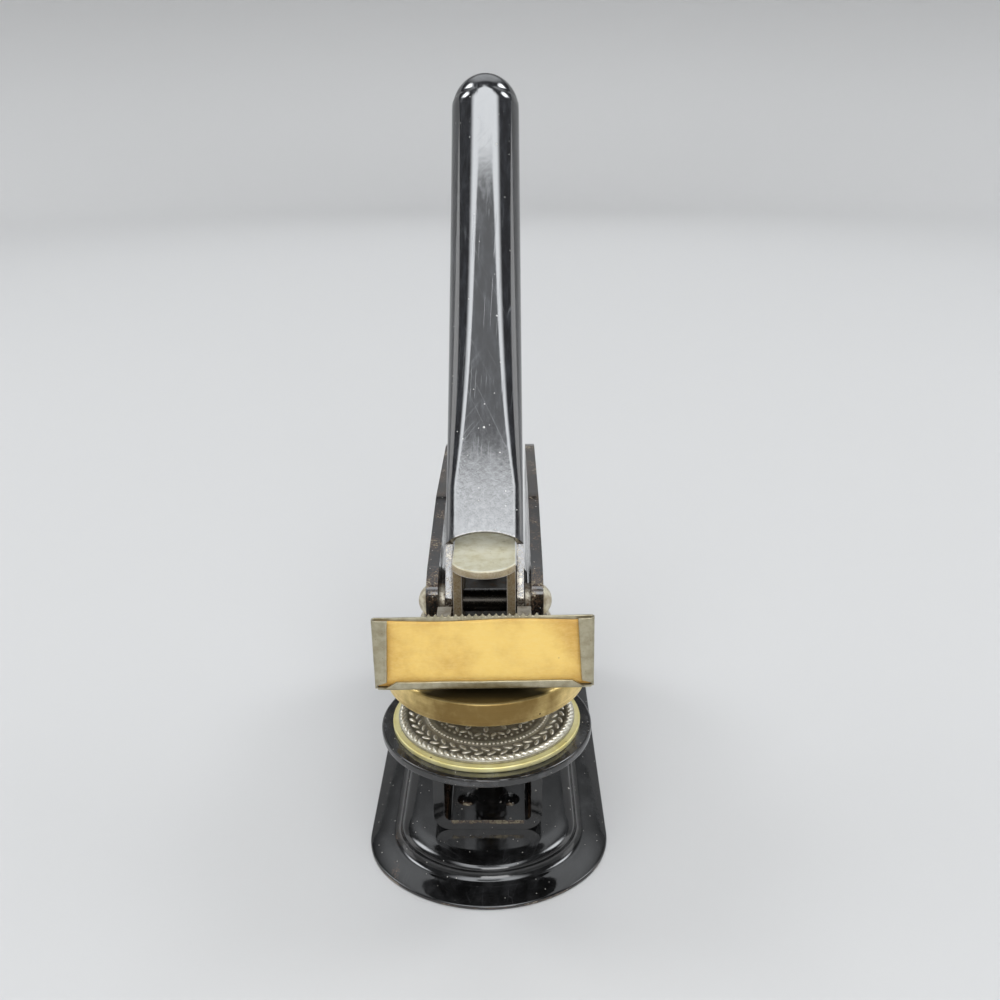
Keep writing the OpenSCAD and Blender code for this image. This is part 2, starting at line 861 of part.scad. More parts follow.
module bracket_rivets() {
    color("gray")
        bracket_rivet_places()
            for (x = [-1, 1])
                translate([x * inner_w / 2, 0, 0])
                    rotate([0, x * 90, 0]) {
                        cylinder(d = rivet_d, h = frame_t + bracket_t, $fn = 32);
                        translate([0, 0, frame_t + bracket_t])
                            dome(rivet_d + 1.8, 1.2);
                    }
}

module label_rivet_places() {
    for (x = [-1, 1])
        translate([x * 6, plate_y, label_z + 5])
            rotate([90, 0, 0])
                children();
}

// Folded tray: back plate with a toothed edge, three lips with mitred corners
module label_frame() {
    back_y = plate_y - label_t;
    tooth_h = 1;
    side_h = label_h - 0.6;
    color("lightgray")
        difference() {
            union() {
                translate([0, plate_y, label_z])
                    rotate([90, 0, 0])
                        linear_extrude(label_t)
                            difference() {
                                translate([-label_w / 2, 0])
                                    square([label_w, side_h]);
                                for (i = [-(teeth - 1) / 2:(teeth - 1) / 2])
                                    translate([i * tooth_pitch, side_h])
                                        circle(r = tooth_pitch * 0.36, $fn = 24);
                            }
                for (x = [-1, 1])
                    translate([x * (label_w - label_t) / 2 - label_t / 2, label_y, label_z])
                        cube([label_t, label_depth, side_h]);
                translate([-label_w / 2, label_y, label_z])
                    cube([label_w, label_depth, label_t]);
                translate([0, label_y + label_t, label_z])
                    rotate([90, 0, 0])
                        linear_extrude(label_t) {
                            polygon([[-label_w / 2, 0],
                                     [label_w / 2, 0],
                                     [label_w / 2 - lower_lip, lower_lip],
                                     [-label_w / 2 + lower_lip, lower_lip]]);
                            for (x = [-1, 1])
                                polygon([[x * label_w / 2, 0],
                                         [x * (label_w / 2 - side_lip), side_lip],
                                         [x * (label_w / 2 - side_lip), side_h - 1],
                                         [x * label_w / 2, side_h]]);
                        }
            }
            label_rivet_places()
                cylinder(d = rivet_d - 1, h = 6, center = true, $fn = 32);
        }
}

module label_rivets() {
    color("gray")
        label_rivet_places() {
            translate([0, 0, -bracket_t])
                cylinder(d = rivet_d - 1, h = bracket_t + label_t, $fn = 32);
            translate([0, 0, -bracket_t])
                mirror([0, 0, 1])
                    dome(rivet_d + 0.4, 0.7);
        }
}

module label_card() {
    play = 0.15;
    inner = label_w - 2 * label_t - 2 * play;
    color("wheat")
        translate([-inner / 2, plate_y - label_t - card_t - 0.02, label_z + label_t + play])
            cube([inner, card_t, label_h - label_t - play - 1.4]);
}

base();
frame();
frame_rivets();
anvil_plate();
backing_disc();
lower_die();
lower_die_screw();
upper_die();
counter_die();
upper_die_screw();
ram_block();
stirrup();
lever();
pivot_pin();
pivot_washers();
guide_post();
spring_seat();
return_spring();
label_bracket();
bracket_rivets();
label_frame();
label_rivets();
label_card();
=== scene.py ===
"""Desk seal embosser, dressed for its picture.

A hand lever with two cams drives a brass die down onto an engraved die.  The
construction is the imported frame; this script gives it its surfaces and the
forms that are finer than the frame's.  Lengths are in millimetres until a mesh
is made, with +Z up and the dies facing -Y.
"""

import json
from math import acos, atan2, cos, degrees, exp, pi, radians, sin, sqrt, tan

import bmesh
import bpy
import numpy as np
from mathutils import Matrix, Vector


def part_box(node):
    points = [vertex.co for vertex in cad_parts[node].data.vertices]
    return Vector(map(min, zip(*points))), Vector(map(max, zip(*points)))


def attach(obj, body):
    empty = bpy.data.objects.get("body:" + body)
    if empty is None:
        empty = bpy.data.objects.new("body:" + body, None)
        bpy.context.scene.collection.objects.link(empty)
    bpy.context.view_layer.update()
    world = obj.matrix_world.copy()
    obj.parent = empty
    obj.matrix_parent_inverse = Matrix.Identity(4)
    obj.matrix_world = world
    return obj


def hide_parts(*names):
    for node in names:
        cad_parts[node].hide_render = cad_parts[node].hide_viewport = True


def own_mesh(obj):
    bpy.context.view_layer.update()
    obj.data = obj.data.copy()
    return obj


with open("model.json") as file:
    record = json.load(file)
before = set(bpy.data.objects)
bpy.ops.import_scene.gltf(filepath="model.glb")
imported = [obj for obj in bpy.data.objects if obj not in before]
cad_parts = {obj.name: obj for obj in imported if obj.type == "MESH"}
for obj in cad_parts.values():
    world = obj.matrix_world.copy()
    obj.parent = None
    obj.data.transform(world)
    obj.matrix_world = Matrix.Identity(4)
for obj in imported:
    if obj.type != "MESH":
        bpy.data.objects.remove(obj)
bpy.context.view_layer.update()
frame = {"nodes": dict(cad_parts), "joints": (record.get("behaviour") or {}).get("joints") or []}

# ---- base -------------------------------------------------------------------
# A stamping of 1.6 mm sheet steel, rounded in front and drawn up into a platform
# inside a slightly bowed flange.  It is dipped in black enamel, which pools on the
# flange and has chipped along the rim.

MM = 0.001


def span(node):
    """Lowest and highest corner of a node of the frame, in millimetres."""
    low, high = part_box(node)
    return low / MM, high / MM


class Wire:
    """An output socket in a finish.  Sums on it add Math nodes, node() adds any other."""

    def __init__(self, tree, socket=None):
        self.tree = tree
        self.socket = socket

    def node(self, kind, settings=None, inputs=None, out=0):
        made = self.tree.nodes.new("ShaderNode" + kind)
        for name, value in (settings or {}).items():
            setattr(made, name, value)
        for key, value in (inputs or {}).items():
            if isinstance(value, Wire):
                self.tree.links.new(value.socket, made.inputs[key])
            else:
                made.inputs[key].default_value = value
        return Wire(self.tree, made.outputs[out] if len(made.outputs) else None)

    def part(self, axis):
        """The part of a place or direction along X, Y or Z."""
        return self.node("SeparateXYZ", {}, {0: self}, out=axis)

    def sum_node(self, operation, first, second):
        return self.node("Math", {"operation": operation}, {0: first, 1: second})

    def __add__(self, other):
        return self.sum_node("ADD", self, other)

    __radd__ = __add__

    def __sub__(self, other):
        return self.sum_node("SUBTRACT", self, other)

    def __rsub__(self, other):
        return self.sum_node("SUBTRACT", other, self)

    def __mul__(self, other):
        return self.sum_node("MULTIPLY", self, other)

    __rmul__ = __mul__

    def __truediv__(self, other):
        return self.sum_node("DIVIDE", self, other)

    def __pow__(self, other):
        return self.sum_node("POWER", self, other)

    def __abs__(self):
        return self.node("Math", {"operation": "ABSOLUTE"}, {0: self})


def open_finish(name):
    """A new material and the place on the piece, in millimetres."""
    material = bpy.data.materials.new(name)
    material.use_nodes = True
    material.node_tree.nodes.clear()
    metres = Wire(material.node_tree).node("TexCoord", out="Object")
    place = metres.node("VectorMath", {"operation": "SCALE"}, {0: metres, "Scale": 1 / MM})
    return material, place


def grain(place, size, detail, stretch=(1, 1, 1), shift=(0, 0, 0), rough=0.5):
    """Noise from 0 to 1 whose lumps are about size millimetres across."""
    moved = place.node("VectorMath", {"operation": "MULTIPLY_ADD"},
                       {0: place, 1: stretch, 2: shift})
    return place.node("TexNoise", {}, {"Vector": moved, "Scale": 1 / size, "Detail": detail,
                                       "Roughness": rough})


def rise(value, low, high):
    """0 below low and 1 above high, smooth between."""
    return value.node("MapRange", {"interpolation_type": "SMOOTHSTEP"},
                      {0: value, 1: low, 2: high})


def tint(share, under, over):
    """Colour under where share is 0 and over where it is 1."""
    return share.node("Mix", {"data_type": "RGBA"}, {0: share, 6: under, 7: over}, out=2)


def edge_of(place, radius):
    """0 on open faces, rising towards every sharp edge within radius millimetres."""
    true = place.node("NewGeometry", out="Normal")
    round_off = place.node("Bevel", {"samples": 6}, {"Radius": radius * MM})
    along = place.node("VectorMath", {"operation": "DOT_PRODUCT"}, {0: true, 1: round_off},
                       out="Value")
    return 1 - along


def scratches(place, axis, angle, spacing, width, shift=(0, 0, 0)):
    """Thin straight lines of width millimetres, laid at an angle in degrees about an axis."""
    turned = place.node("VectorRotate", {"rotation_type": axis + "_AXIS"},
                        {"Vector": place, "Angle": radians(angle)})
    long = (1, 0.01, 1) if axis == "Z" else (1, 1, 0.01)
    net = turned.node("VectorMath", {"operation": "MULTIPLY_ADD"}, {0: turned, 1: long, 2: shift})
    off_line = net.node("TexVoronoi", {"feature": "DISTANCE_TO_EDGE"},
                        {"Vector": net, "Scale": 1 / spacing})
    gate = rise(grain(turned, spacing * 3, 2.0, (1, 0.3, 1), shift), 0.50, 0.60)
    return rise(off_line, width / spacing, 0.0) * gate


def specks(place, pitch, size, share):
    """Round dots of size millimetres on a random net of that pitch; share of them show."""
    net = place.node("TexVoronoi", {}, {"Vector": place, "Scale": 1 / pitch})
    key = place.node("TexVoronoi", {}, {"Vector": place, "Scale": 1 / pitch}, out="Color")
    pick = place.node("SeparateColor", {}, {0: key}, out=0)
    return rise(1 - net * (pitch / size), 0.0, 0.4) * rise(pick, 1 - share, 1 - share + 0.02)


def close_finish(place, colour, roughness, metallic, bump=None, depth=0.0, ior=1.5):
    """Principled shader; bump is a height from 0 to 1 that stands depth millimetres high."""
    inputs = {"Base Color": colour, "Roughness": roughness, "Metallic": metallic, "IOR": ior}
    if bump is not None:
        inputs["Normal"] = place.node("Bump", {}, {"Strength": 1.0, "Distance": depth * MM,
                                                   "Height": bump})
    shader = place.node("BsdfPrincipled", {}, inputs)
    place.node("OutputMaterial", {}, {"Surface": shader})


def facing(place, axis):
    """How far a surface faces along an axis of the piece, from -1 to 1."""
    return place.node("TexCoord", out="Normal").part(axis)


def black_enamel(name, rub, bare, worn, dust, haze, rust=None):
    """Glossy baked enamel over steel.  Where worn nears 1 it shows the bare steel, and
    where rust nears 1 it is brown.  Its scratches turn about the axis rub, dust is the
    share of specks on it, and haze is its lightness where clean and where smeared."""
    material, place = open_finish(name)
    cloud = grain(place, 7, 4.0, rough=0.6)
    fleck = grain(place, 0.55, 4.0, rough=0.7)
    smear = rise(grain(place, 4.5, 5.0, (1, 0.5, 1), (3, 3, 3), 0.68), 0.40, 0.78)
    scored = (scratches(place, rub, 14, 2.6, 0.035, (7, 3, 1))
              + scratches(place, rub, -52, 3.6, 0.035, (2, 9, 4)))
    dots = specks(place, 1.0, 0.15, dust) + specks(place, 2.9, 0.34, dust)
    paint = tint(smear, (haze[0],) * 3 + (1,), (haze[1], haze[1], haze[1] * 1.04, 1))
    paint = tint(scored * 0.14, paint, (0.16, 0.16, 0.165, 1))
    if rust:
        brown = rise(rust(place) + (fleck - 0.5) * 1.1 + (cloud - 0.5) * 1.1, 0.45, 0.95)
        paint = tint(brown, paint, tint(fleck, (0.030, 0.016, 0.008, 1), (0.085, 0.048, 0.024, 1)))
    share = worn(place) if callable(worn) else worn
    rubbed = share + (fleck - 0.5) * 1.5 + (cloud - 0.5) * 1.3
    chipped = rise(rubbed, 0.74, 0.90)
    paint = tint(rise(rubbed, 0.45, 0.85), paint, (0.085, 0.052, 0.032, 1))
    metal = tint(grain(place, 1.1, 3.0), bare, tuple(0.5 * c for c in bare[:3]) + (1,))
    colour = tint(dots, tint(chipped, paint, metal), (0.44, 0.42, 0.38, 1))
    roughness = 0.06 + smear * 0.12 + scored * 0.06 + dots * 0.5 + chipped * 0.30
    if rust:
        roughness = roughness + brown * 0.4
    height = grain(place, 0.9, 1.0) * 0.16 + dots * 0.5 - scored * 0.06 - chipped * 0.5
    close_finish(place, colour, roughness, chipped * 0.8, height, 0.03, 1.7)
    return material


def placed(name, data):
    """A mesh, lamp or camera as an object of the scene."""
    made = bpy.data.objects.new(name, data)
    bpy.context.scene.collection.objects.link(made)
    return made


def piece(name, points, faces, body, finish, node):
    """A smooth mesh through points in millimetres that rides on body and stands for node."""
    mesh = bpy.data.meshes.new(name)
    mesh.from_pydata([tuple(MM * c for c in p) for p in points], [], faces)
    mesh.validate()
    mesh.shade_smooth()
    mesh.materials.append(finish)
    made = placed(name, mesh)
    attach(made, body)
    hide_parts(node)
    return made


def skin_faces(rows, columns, closed=False):
    """Quads of a grid of points, row after row; closed joins the last column to the first."""
    turn = columns if closed else columns - 1
    return [(r * columns + c, r * columns + (c + 1) % columns,
             (r + 1) * columns + (c + 1) % columns, (r + 1) * columns + c)
            for r in range(rows - 1) for c in range(turn)]


def tube_faces(rings, size):
    """Faces of a tube of closed rings of that many points, with a face over each end."""
    last = rings * size
    ends = [tuple(range(size - 1, -1, -1)), tuple(range(last - size, last))]
    return skin_faces(rings, size, closed=True) + ends


def circle_arc(centre, radius, start, end, steps):
    """Points on an arc, in degrees, both ends included."""
    angles = np.radians(np.linspace(start, end, steps + 1))
    return [(centre[0] + radius * cos(a), centre[1] + radius * sin(a)) for a in angles]


base_low, base_high = span("base")
base_half = base_high.x
platform_top = base_high.z
sheet = 1.6
flange, flange_top = 5.4, 1.8
fillet_r = 2.3
shoulder_depth, shoulder_r = 4.7, platform_top - flange_top - fillet_r
front_depth, side_r = 25.6, 23.5
rear_r, least_r = 11, 0.3
bow_start, rim_lean, bow_width = 2, 16, 5.1
start_sin, rim_sin = sin(radians(bow_start)), sin(radians(rim_lean))
flange_r = bow_width / (rim_sin - start_sin)
rim_r = (flange - bow_width) / (1 - rim_sin)
bow_r = (base_half ** 2 + front_depth ** 2 - 2 * base_half * side_r) / (2 * (front_depth - side_r))
bow_turn = degrees(atan2(bow_r - front_depth, base_half - side_r))


def base_outline(inset):
    """Plan of the base, drawn in by inset: bowed front, rounded corners, straight sides."""
    turn_r = max(rear_r - inset, least_r)
    rear_x, rear_y = base_half - inset - turn_r, base_high.y - inset - turn_r
    bow = circle_arc((0, base_low.y + bow_r), bow_r - inset, bow_turn - 180, -bow_turn, 30)
    side_y = base_low.y + front_depth
    corner = circle_arc((base_half - side_r, side_y), side_r - inset, -bow_turn, 0, 24)
    side = [(base_half - inset, y) for y in np.linspace(side_y, rear_y, 12)[1:-1]]
    rear = circle_arc((rear_x, rear_y), turn_r, 0, 90, 14)
    back = [(x, base_high.y - inset) for x in np.linspace(rear_x, 0, 8)[1:]]
    half = bow[len(bow) // 2:] + corner[1:] + side + rear + back
    return half + [(-x, y) for x, y in reversed(half[1:-1])]


top_inset = flange + fillet_r + shoulder_depth
base_section = [(top_inset + 0.5, platform_top)]
base_section += [(top_inset - shoulder_depth * cos(a),
                  platform_top - shoulder_r * (1 - sin(a)))
                 for a in np.radians(np.linspace(90, 4, 16))]
base_section += circle_arc((flange, flange_top + fillet_r), fillet_r, 0, -84, 11)
bow_middle = (flange + flange_r * start_sin, flange_top - flange_r * sqrt(1 - start_sin ** 2))
base_section += circle_arc(bow_middle, flange_r, 90 + bow_start, 90 + rim_lean, 11)
rim_z = base_section[-1][1] - rim_r * sqrt(1 - rim_sin ** 2)
base_section += circle_arc((rim_r, rim_z), rim_r, 90 + rim_lean, 180, 7)[1:]
foot_ease = 0.25
hollow = flange + sheet + 1.6
hollow_top = platform_top - sheet
base_section += [(0.0, foot_ease), (foot_ease, 0.0), (flange * 0.6, 0.0), (hollow - 0.3, 0.0),
                 (hollow, foot_ease), (hollow + 0.9, hollow_top - 1.4),
                 (hollow + 1.5, hollow_top - 0.5), (hollow + 2.8, hollow_top),
                 (hollow + 3.4, hollow_top)]
base_points = [(x, y, z) for inset, z in base_section for x, y in base_outline(inset)]
base_faces = [f[::-1] for f in tube_faces(len(base_section), len(base_outline(0)))]


def base_wear(place):
    """The stamping's cut rim, and a strip along its left shoulder."""
    rim = rise(1 - abs(facing(place, "Z")), 0.3, 0.9) * rise(2.5 - place.part("Z"), 0.0, 0.4)
    from_left = place.part("X") + base_half
    strip = rise(from_left, flange + 4.2, flange + 2.0)
    strip = strip * rise(from_left, flange - 0.4, flange + 1.2)
    return rim * 0.60 + strip * 0.42


base_finish = black_enamel("base_enamel", "Z", bare=(0.40, 0.35, 0.28, 1), worn=base_wear,
                           dust=0.15, haze=(0.004, 0.022))
piece("base_stamping", base_points, base_faces, "stand", base_finish, "base")

# ---- frame ------------------------------------------------------------------
# One steel blank, folded into a channel: foot, lower arm, back and two ears.
# Its cut edges are worn to grey and brown steel, and the insides have rusted.


def round_edges(shown, radius, turn, segments=3):
    """Rounds the edges of a piece that turn by more than turn degrees."""
    rounding = shown.modifiers.new("rounded_edges", "BEVEL")
    rounding.width = radius * MM
    rounding.segments = segments
    rounding.limit_method = "ANGLE"
    rounding.angle_limit = radians(turn)
    return rounding


def dress(node, finish, soften=0.0, edge=None):
    """Gives a node of the frame its finish and, with soften, rounded edges of that
    radius, which take the finish edge where one is given."""
    shown = frame["nodes"][node]
    shown.data.materials.clear()
    shown.data.materials.append(finish)
    if edge:
        shown.data.materials.append(edge)
    if soften:
        weld = shown.modifiers.new("weld", "WELD")
        weld.merge_threshold = 0.002 * MM
        flat = shown.modifiers.new("flat_faces", "DECIMATE")
        flat.decimate_type = "DISSOLVE"
        flat.angle_limit = radians(0.6)
        rounding = round_edges(shown, soften, 35)
        rounding.harden_normals = True
        rounding.material = 1 if edge else -1


ear_x = span("frame")[1].x
web_top = base_high.z + 2.6
arm_low, arm_high = 46, 56
web_x = 9.6


def frame_cut(place):
    """The frame's cut edges: round the upper arm, and the front of the lower web."""
    level = place.part("Z")
    front = rise(facing(place, "Y") * -1, 0.35, 0.8)
    cut = rise(abs(facing(place, "X")), 0.5, 0.2)
    web = rise(level, web_top - 1.5, web_top - 0.7) * rise(level, web_top + 1.2, web_top + 0.4)
    web = web * rise(abs(place.part("X")), web_x, web_x - 1.6)
    return cut * rise(level, arm_low, arm_high) * 0.56 + front * web * 0.85


def frame_rust(place):
    """Inner faces of the plates and the foot between them, where the enamel was thin."""
    inner = rise(facing(place, "X") * place.part("X") / ear_x, -0.3, -0.7)
    foot = rise(facing(place, "Z"), 0.4, 0.8) * rise(place.part("Z"), web_top + 1.5, web_top + 0.7)
    return inner * 0.62 + foot * 0.4


frame_finish = black_enamel("frame_enamel", "X", bare=(0.46, 0.40, 0.28, 1), worn=frame_cut,
                            rust=frame_rust, dust=0.2, haze=(0.004, 0.020))
frame_edge = black_enamel("frame_edge_enamel", "X", bare=(0.42, 0.38, 0.31, 1), worn=0.47,
                          dust=0.2, haze=(0.005, 0.025))
dress("frame", frame_finish, 0.3, frame_edge)


def plain_steel(name, bright, dark, rust=0.2, rough=0.3):
    """Bare steel: cloudy tarnish, fine marks, and rust in its low spots."""
    material, place = open_finish(name)
    cloud = grain(place, 2.4, 4.0, rough=0.6)
    fleck = grain(place, 0.35, 3.0, shift=(5, 1, 8))
    stain = rise(cloud * 0.7 + fleck * 0.5, 0.66 - 0.3 * rust, 0.86 - 0.2 * rust)
    colour = tint(rise(cloud, 0.3, 0.75), bright, dark)
    colour = tint(stain * min(1.0, 4 * rust), colour, (0.12, 0.065, 0.03, 1))
    # Sharp edges are lighter: worn edges and a painted highlight.
    edge_wear_and_highlight = tuple(min(1.0, 1.25 * c) for c in bright[:3]) + (1,)
    colour = tint(rise(edge_of(place, 0.35), 0.02, 0.25) * 0.5, colour, edge_wear_and_highlight)
    close_finish(place, colour, rough + cloud * 0.18 + stain * 0.25, 1 - stain * 0.6,
                 fleck * 0.4 + cloud * 0.3, 0.02)
    return material


screw_steel = plain_steel("blackened_steel", (0.17, 0.165, 0.16, 1), (0.07, 0.066, 0.062, 1),
                          rust=0.25, rough=0.32)
dress("frame_rivets", frame_finish)

# ---- guide post, seat and spring --------------------------------------------
# A turned steel post is riveted through frame and base.  A washer on its shoulder
# carries the coil spring, which lifts the ram.

post_steel = plain_steel("turned_steel", (0.50, 0.48, 0.45, 1), (0.26, 0.245, 0.23, 1),
                         rust=0.3, rough=0.28)
dress("guide_post", post_steel, 0.15)
dress("spring_seat", post_steel, 0.12)

wire_d, wire_sides = 0.9, 14
coil_turns, coil_steps = 8.5, 32
post_low, post_high = span("guide_post")
spring_low, spring_high = span("return_spring")
coil_y = (post_low.y + post_high.y) / 2
coil_r = (spring_high.x - spring_low.x - wire_d) / 2
coil_low = spring_low.z + wire_d / 2
coil_l = spring_high.z - spring_low.z - wire_d


def coil_point(turn):
    """Centre of the wire after that many turns; the end turns lie closer."""
    share = turn / coil_turns
    climb = share - 0.055 * sin(2 * pi * share)
    angle = 2 * pi * turn
    return Vector((coil_r * cos(angle), coil_y + coil_r * sin(angle),
                   coil_low + coil_l * climb))


coil_points = []
coil_count = int(coil_turns * coil_steps)
for i in range(coil_count + 1):
    turn = i / coil_steps
    here = coil_point(turn)
    out = Vector((cos(2 * pi * turn), sin(2 * pi * turn), 0))
    along = (coil_point(turn + 0.01) - coil_point(turn - 0.01)).normalized()
    up = along.cross(out)
    blunt = 0.82 if i in (0, coil_count) else 1.0
    for s in range(wire_sides):
        a = 2 * pi * s / wire_sides
        coil_points.append(here + blunt * wire_d / 2 * (cos(a) * out + sin(a) * up))
coil_faces = tube_faces(coil_count + 1, wire_sides)
spring_steel = plain_steel("spring_wire", (0.42, 0.40, 0.38, 1), (0.20, 0.18, 0.165, 1), rust=0.35)
spring = piece("lifting_spring", coil_points, coil_faces, "stand", spring_steel,
               "return_spring")
drop = next(j for j in frame["joints"] if j["name"] == "ram_drop")["range_m"][1] / MM
seat_top = span("spring_seat")[1].z
coil_space = span("ram_block")[0].z - seat_top
1 - drop / coil_space
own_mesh(spring)

# ---- anvil plate and lower die ----------------------------------------------
# The enamelled anvil plate is staked on four tongues of the frame.  A pale brass
# disc packs up the engraved die, which has a rope border, a ring of beads and a
# wreath of leaves in relief.

disc_low, disc_high = span("backing_disc")
die_x = (disc_low.x + disc_high.x) / 2
die_y = (disc_low.y + disc_high.y) / 2


def die_reach(place):
    """Distance from the upright axis of the dies."""
    centred = place.node("VectorMath", {"operation": "SUBTRACT"}, {0: place, 1: (die_x, die_y, 0)})
    flat = centred.node("VectorMath", {"operation": "MULTIPLY"}, {0: centred, 1: (1, 1, 0)})
    return flat.node("VectorMath", {"operation": "LENGTH"}, {0: flat}, out="Value")


def anvil_wear(place):
    """Dust and rubbed spots that gather round the discs."""
    return rise(die_reach(place), 24.5, 21.0) * 0.38


anvil_finish = black_enamel("anvil_enamel", "Z", bare=(0.40, 0.36, 0.26, 1), worn=anvil_wear,
                            dust=0.3, haze=(0.015, 0.080))
anvil_edge = black_enamel("anvil_edge_enamel", "Z", bare=(0.62, 0.58, 0.50, 1), worn=0.40,
                          dust=0.3, haze=(0.003, 0.014))
dress("anvil_plate", anvil_finish, 0.22, anvil_edge)
dress("lower_die_screw", screw_steel, 0.2)


def round_brass(name, pale, deep, dark, marks, rough=0.24, spotted=0.1, metal=1.0,
                tray_shadow_r=0.0, dark_reflection=0.0):
    """Turned brass: fine rings about the dies' axis, as dark as marks, tarnish, and brown
    spots where spotted is their share.  Its upper face is darkened near the axis, out to
    the given radius and towards the front, as a painted shadow under the label tray, and
    its front faces are darkened as a painted dark reflection."""
    material, place = open_finish(name)
    reach = die_reach(place)
    track = place.node("CombineXYZ", {}, {"X": reach, "Y": 0.0, "Z": place.part("Z")})
    lines = grain(track, 0.16, 3.0, rough=0.7)
    broad = grain(track, 0.9, 2.0, shift=(4, 0, 2))
    cloud = grain(place, 5, 4.0, rough=0.6)
    spots = specks(place, 2.3, 0.3, spotted)
    colour = tint(rise(cloud * 0.7 + broad * 0.4, 0.35, 0.8), pale, deep)
    colour = tint(rise(lines, 0.55, 0.75) * marks, colour, dark)
    # Painted dark reflection: faces turned to the front are darkened.
    if dark_reflection:
        front = rise(facing(place, "Y") * -1 + (cloud - 0.5) * 0.5, 0.45, 1.0)
        colour = tint(front * dark_reflection, colour, dark)
    colour = tint(rise(edge_of(place, 0.4), 0.03, 0.2) * 0.6, colour, pale)
    colour = tint(spots, colour, (0.10, 0.055, 0.02, 1))
    # Painted shadow: the upper face is darkened near the axis and towards the front, where the
    # label tray shades it.
    if tray_shadow_r:
        spread = reach + (cloud - 0.5) * 4 - rise(place.part("Y"), die_y - 16.0, die_y - 19.5) * 4
        tray_shadow = rise(facing(place, "Z"), 0.4, 0.8) * rise(spread, tray_shadow_r + 1.0, tray_shadow_r - 1.5)
        colour = tint(tray_shadow * 0.9, colour, (0.035, 0.024, 0.010, 1))
    roughness = rough + lines * 0.2 + cloud * 0.12 + spots * 0.3
    close_finish(place, colour, roughness, metal - spots * 0.4, lines * 0.7 + broad * 0.3, 0.02)
    return material


backing_finish = round_brass("lacquered_brass", (0.98, 0.92, 0.54, 1), (0.80, 0.70, 0.27, 1),
                             (0.36, 0.27, 0.10, 1), marks=0.5, rough=0.30, spotted=0.5, metal=0.6)
dress("backing_disc", backing_finish, 0.25)

lower_low, lower_high = span("lower_die")
die_r = (lower_high.x - lower_low.x) / 2
plate_z = lower_low.z + 0.9
rope_r = lower_high.z - plate_z
rope_ring = die_r - 0.95
bead_ring, bead_r = 13.6, 0.34
leaf_low, leaf_high = bead_ring + 1.0, rope_ring - 1.1
rope_count, bead_count, leaf_count = 78, 96, 40
field_r = bead_ring - 1.5
dot_ring, bar_ring, petal_ring = 11.3, 9.9, 7.7
dot_count, bar_count, petal_count = 48, 36, 12
hub_foot, hub_top = 6.4, 6.2
die_steps = 160


def lathe(profile, steps):
    """Points and faces of a profile of (radius, height) turned about the dies' axis."""
    points = [(die_x + r * cos(2 * pi * i / steps), die_y + r * sin(2 * pi * i / steps), z)
              for r, z in profile for i in range(steps)]
    return points, tube_faces(len(profile), steps)


def add(points, faces, more_points, more_faces):
    """Puts one closed shell beside another in the same mesh."""
    start = len(points)
    points.extend(more_points)
    faces.extend(tuple(start + i for i in f) for f in more_faces)


def lump(at, ahead, half, rows, columns):
    """A rounded lump that points ahead: half is its (length, width, height) halved."""
    side, up = Vector((-ahead.y, ahead.x, 0)), Vector((0, 0, 1))
    points = [at + up * half[2]]
    for r in range(1, rows):
        a = pi * r / rows
        for c in range(columns):
            b = 2 * pi * c / columns
            points.append(at + ahead * (half[0] * sin(a) * cos(b))
                          + side * (half[1] * sin(a) * sin(b))
                          + up * (half[2] * cos(a)))
    points.append(at - up * half[2])
    faces = [(0, 1 + c, 1 + (c + 1) % columns) for c in range(columns)]
    faces += [(1 + q[0], 1 + q[3], 1 + q[2], 1 + q[1])
              for q in skin_faces(rows - 1, columns, closed=True)]
    last = len(points) - 1
    first = last - columns
    faces += [(last, first + (c + 1) % columns, first + c) for c in range(columns)]
    return points, faces


plate_low = plate_z - 0.18
die_points, die_faces = lathe([
    (0.6, lower_low.z), (die_r - 0.15, lower_low.z), (die_r, lower_low.z + 0.12),
    (die_r, plate_z - 0.12), (die_r - 0.12, plate_z), (rope_ring - 0.95, plate_z),
    (leaf_high + 0.25, plate_z - 0.16), (leaf_low - 0.25, plate_z - 0.16),
    (bead_ring + 0.55, plate_z - 0.02), (bead_ring - 0.55, plate_z - 0.02),
    (field_r, plate_low), (hub_foot, plate_low), (hub_top, plate_z + 0.08),
    (hub_top - 0.5, plate_z + 0.08), (hub_top - 0.7, plate_z - 0.12), (0.6, plate_z - 0.12)],
    die_steps)


def lump_ring(count, radius, height, half, slants=((1, 0),), facets=(6, 12), start=0.0):
    """A ring of lumps on the die.  They point in turn along each of slants, a share round
    the ring and a share outward, and the ring is turned on by start of their pitch."""
    for i in range(count):
        angle = 2 * pi * (i + start) / count
        out = Vector((cos(angle), sin(angle), 0))
        along = Vector((-sin(angle), cos(angle), 0))
        on, off = slants[i % len(slants)]
        ahead = (along * on + out * off).normalized()
        at = Vector((die_x, die_y, height)) + radius * out
        add(die_points, die_faces, *lump(at, ahead, half, *facets))


lump_ring(rope_count, rope_ring, plate_z + 0.02, (1.05, 0.50, rope_r - 0.03), [(0.80, 0.60)],
          (6, 10))
lump_ring(bead_count, bead_ring, plate_z, (bead_r, bead_r, 0.30), facets=(5, 8))
leaf_on, leaf_off = cos(0.55), sin(0.55)
for share, off, start in ((0.27, leaf_off, 0.0), (0.73, -leaf_off, 0.5)):
    lump_ring(leaf_count, leaf_low + (leaf_high - leaf_low) * share, plate_z - 0.14,
              (1.15, 0.48, 0.33), [(leaf_on, off)], start=start)
lump_ring(dot_count, dot_ring, plate_z - 0.16, (0.34, 0.34, 0.26), facets=(5, 8))
lump_ring(bar_count, bar_ring, plate_low, (0.95, 0.42, 0.34), [(0.75, -0.66), (0.75, 0.66)])
lump_ring(petal_count, petal_ring, plate_low, (1.1, 0.6, 0.32), [(0, 1)])


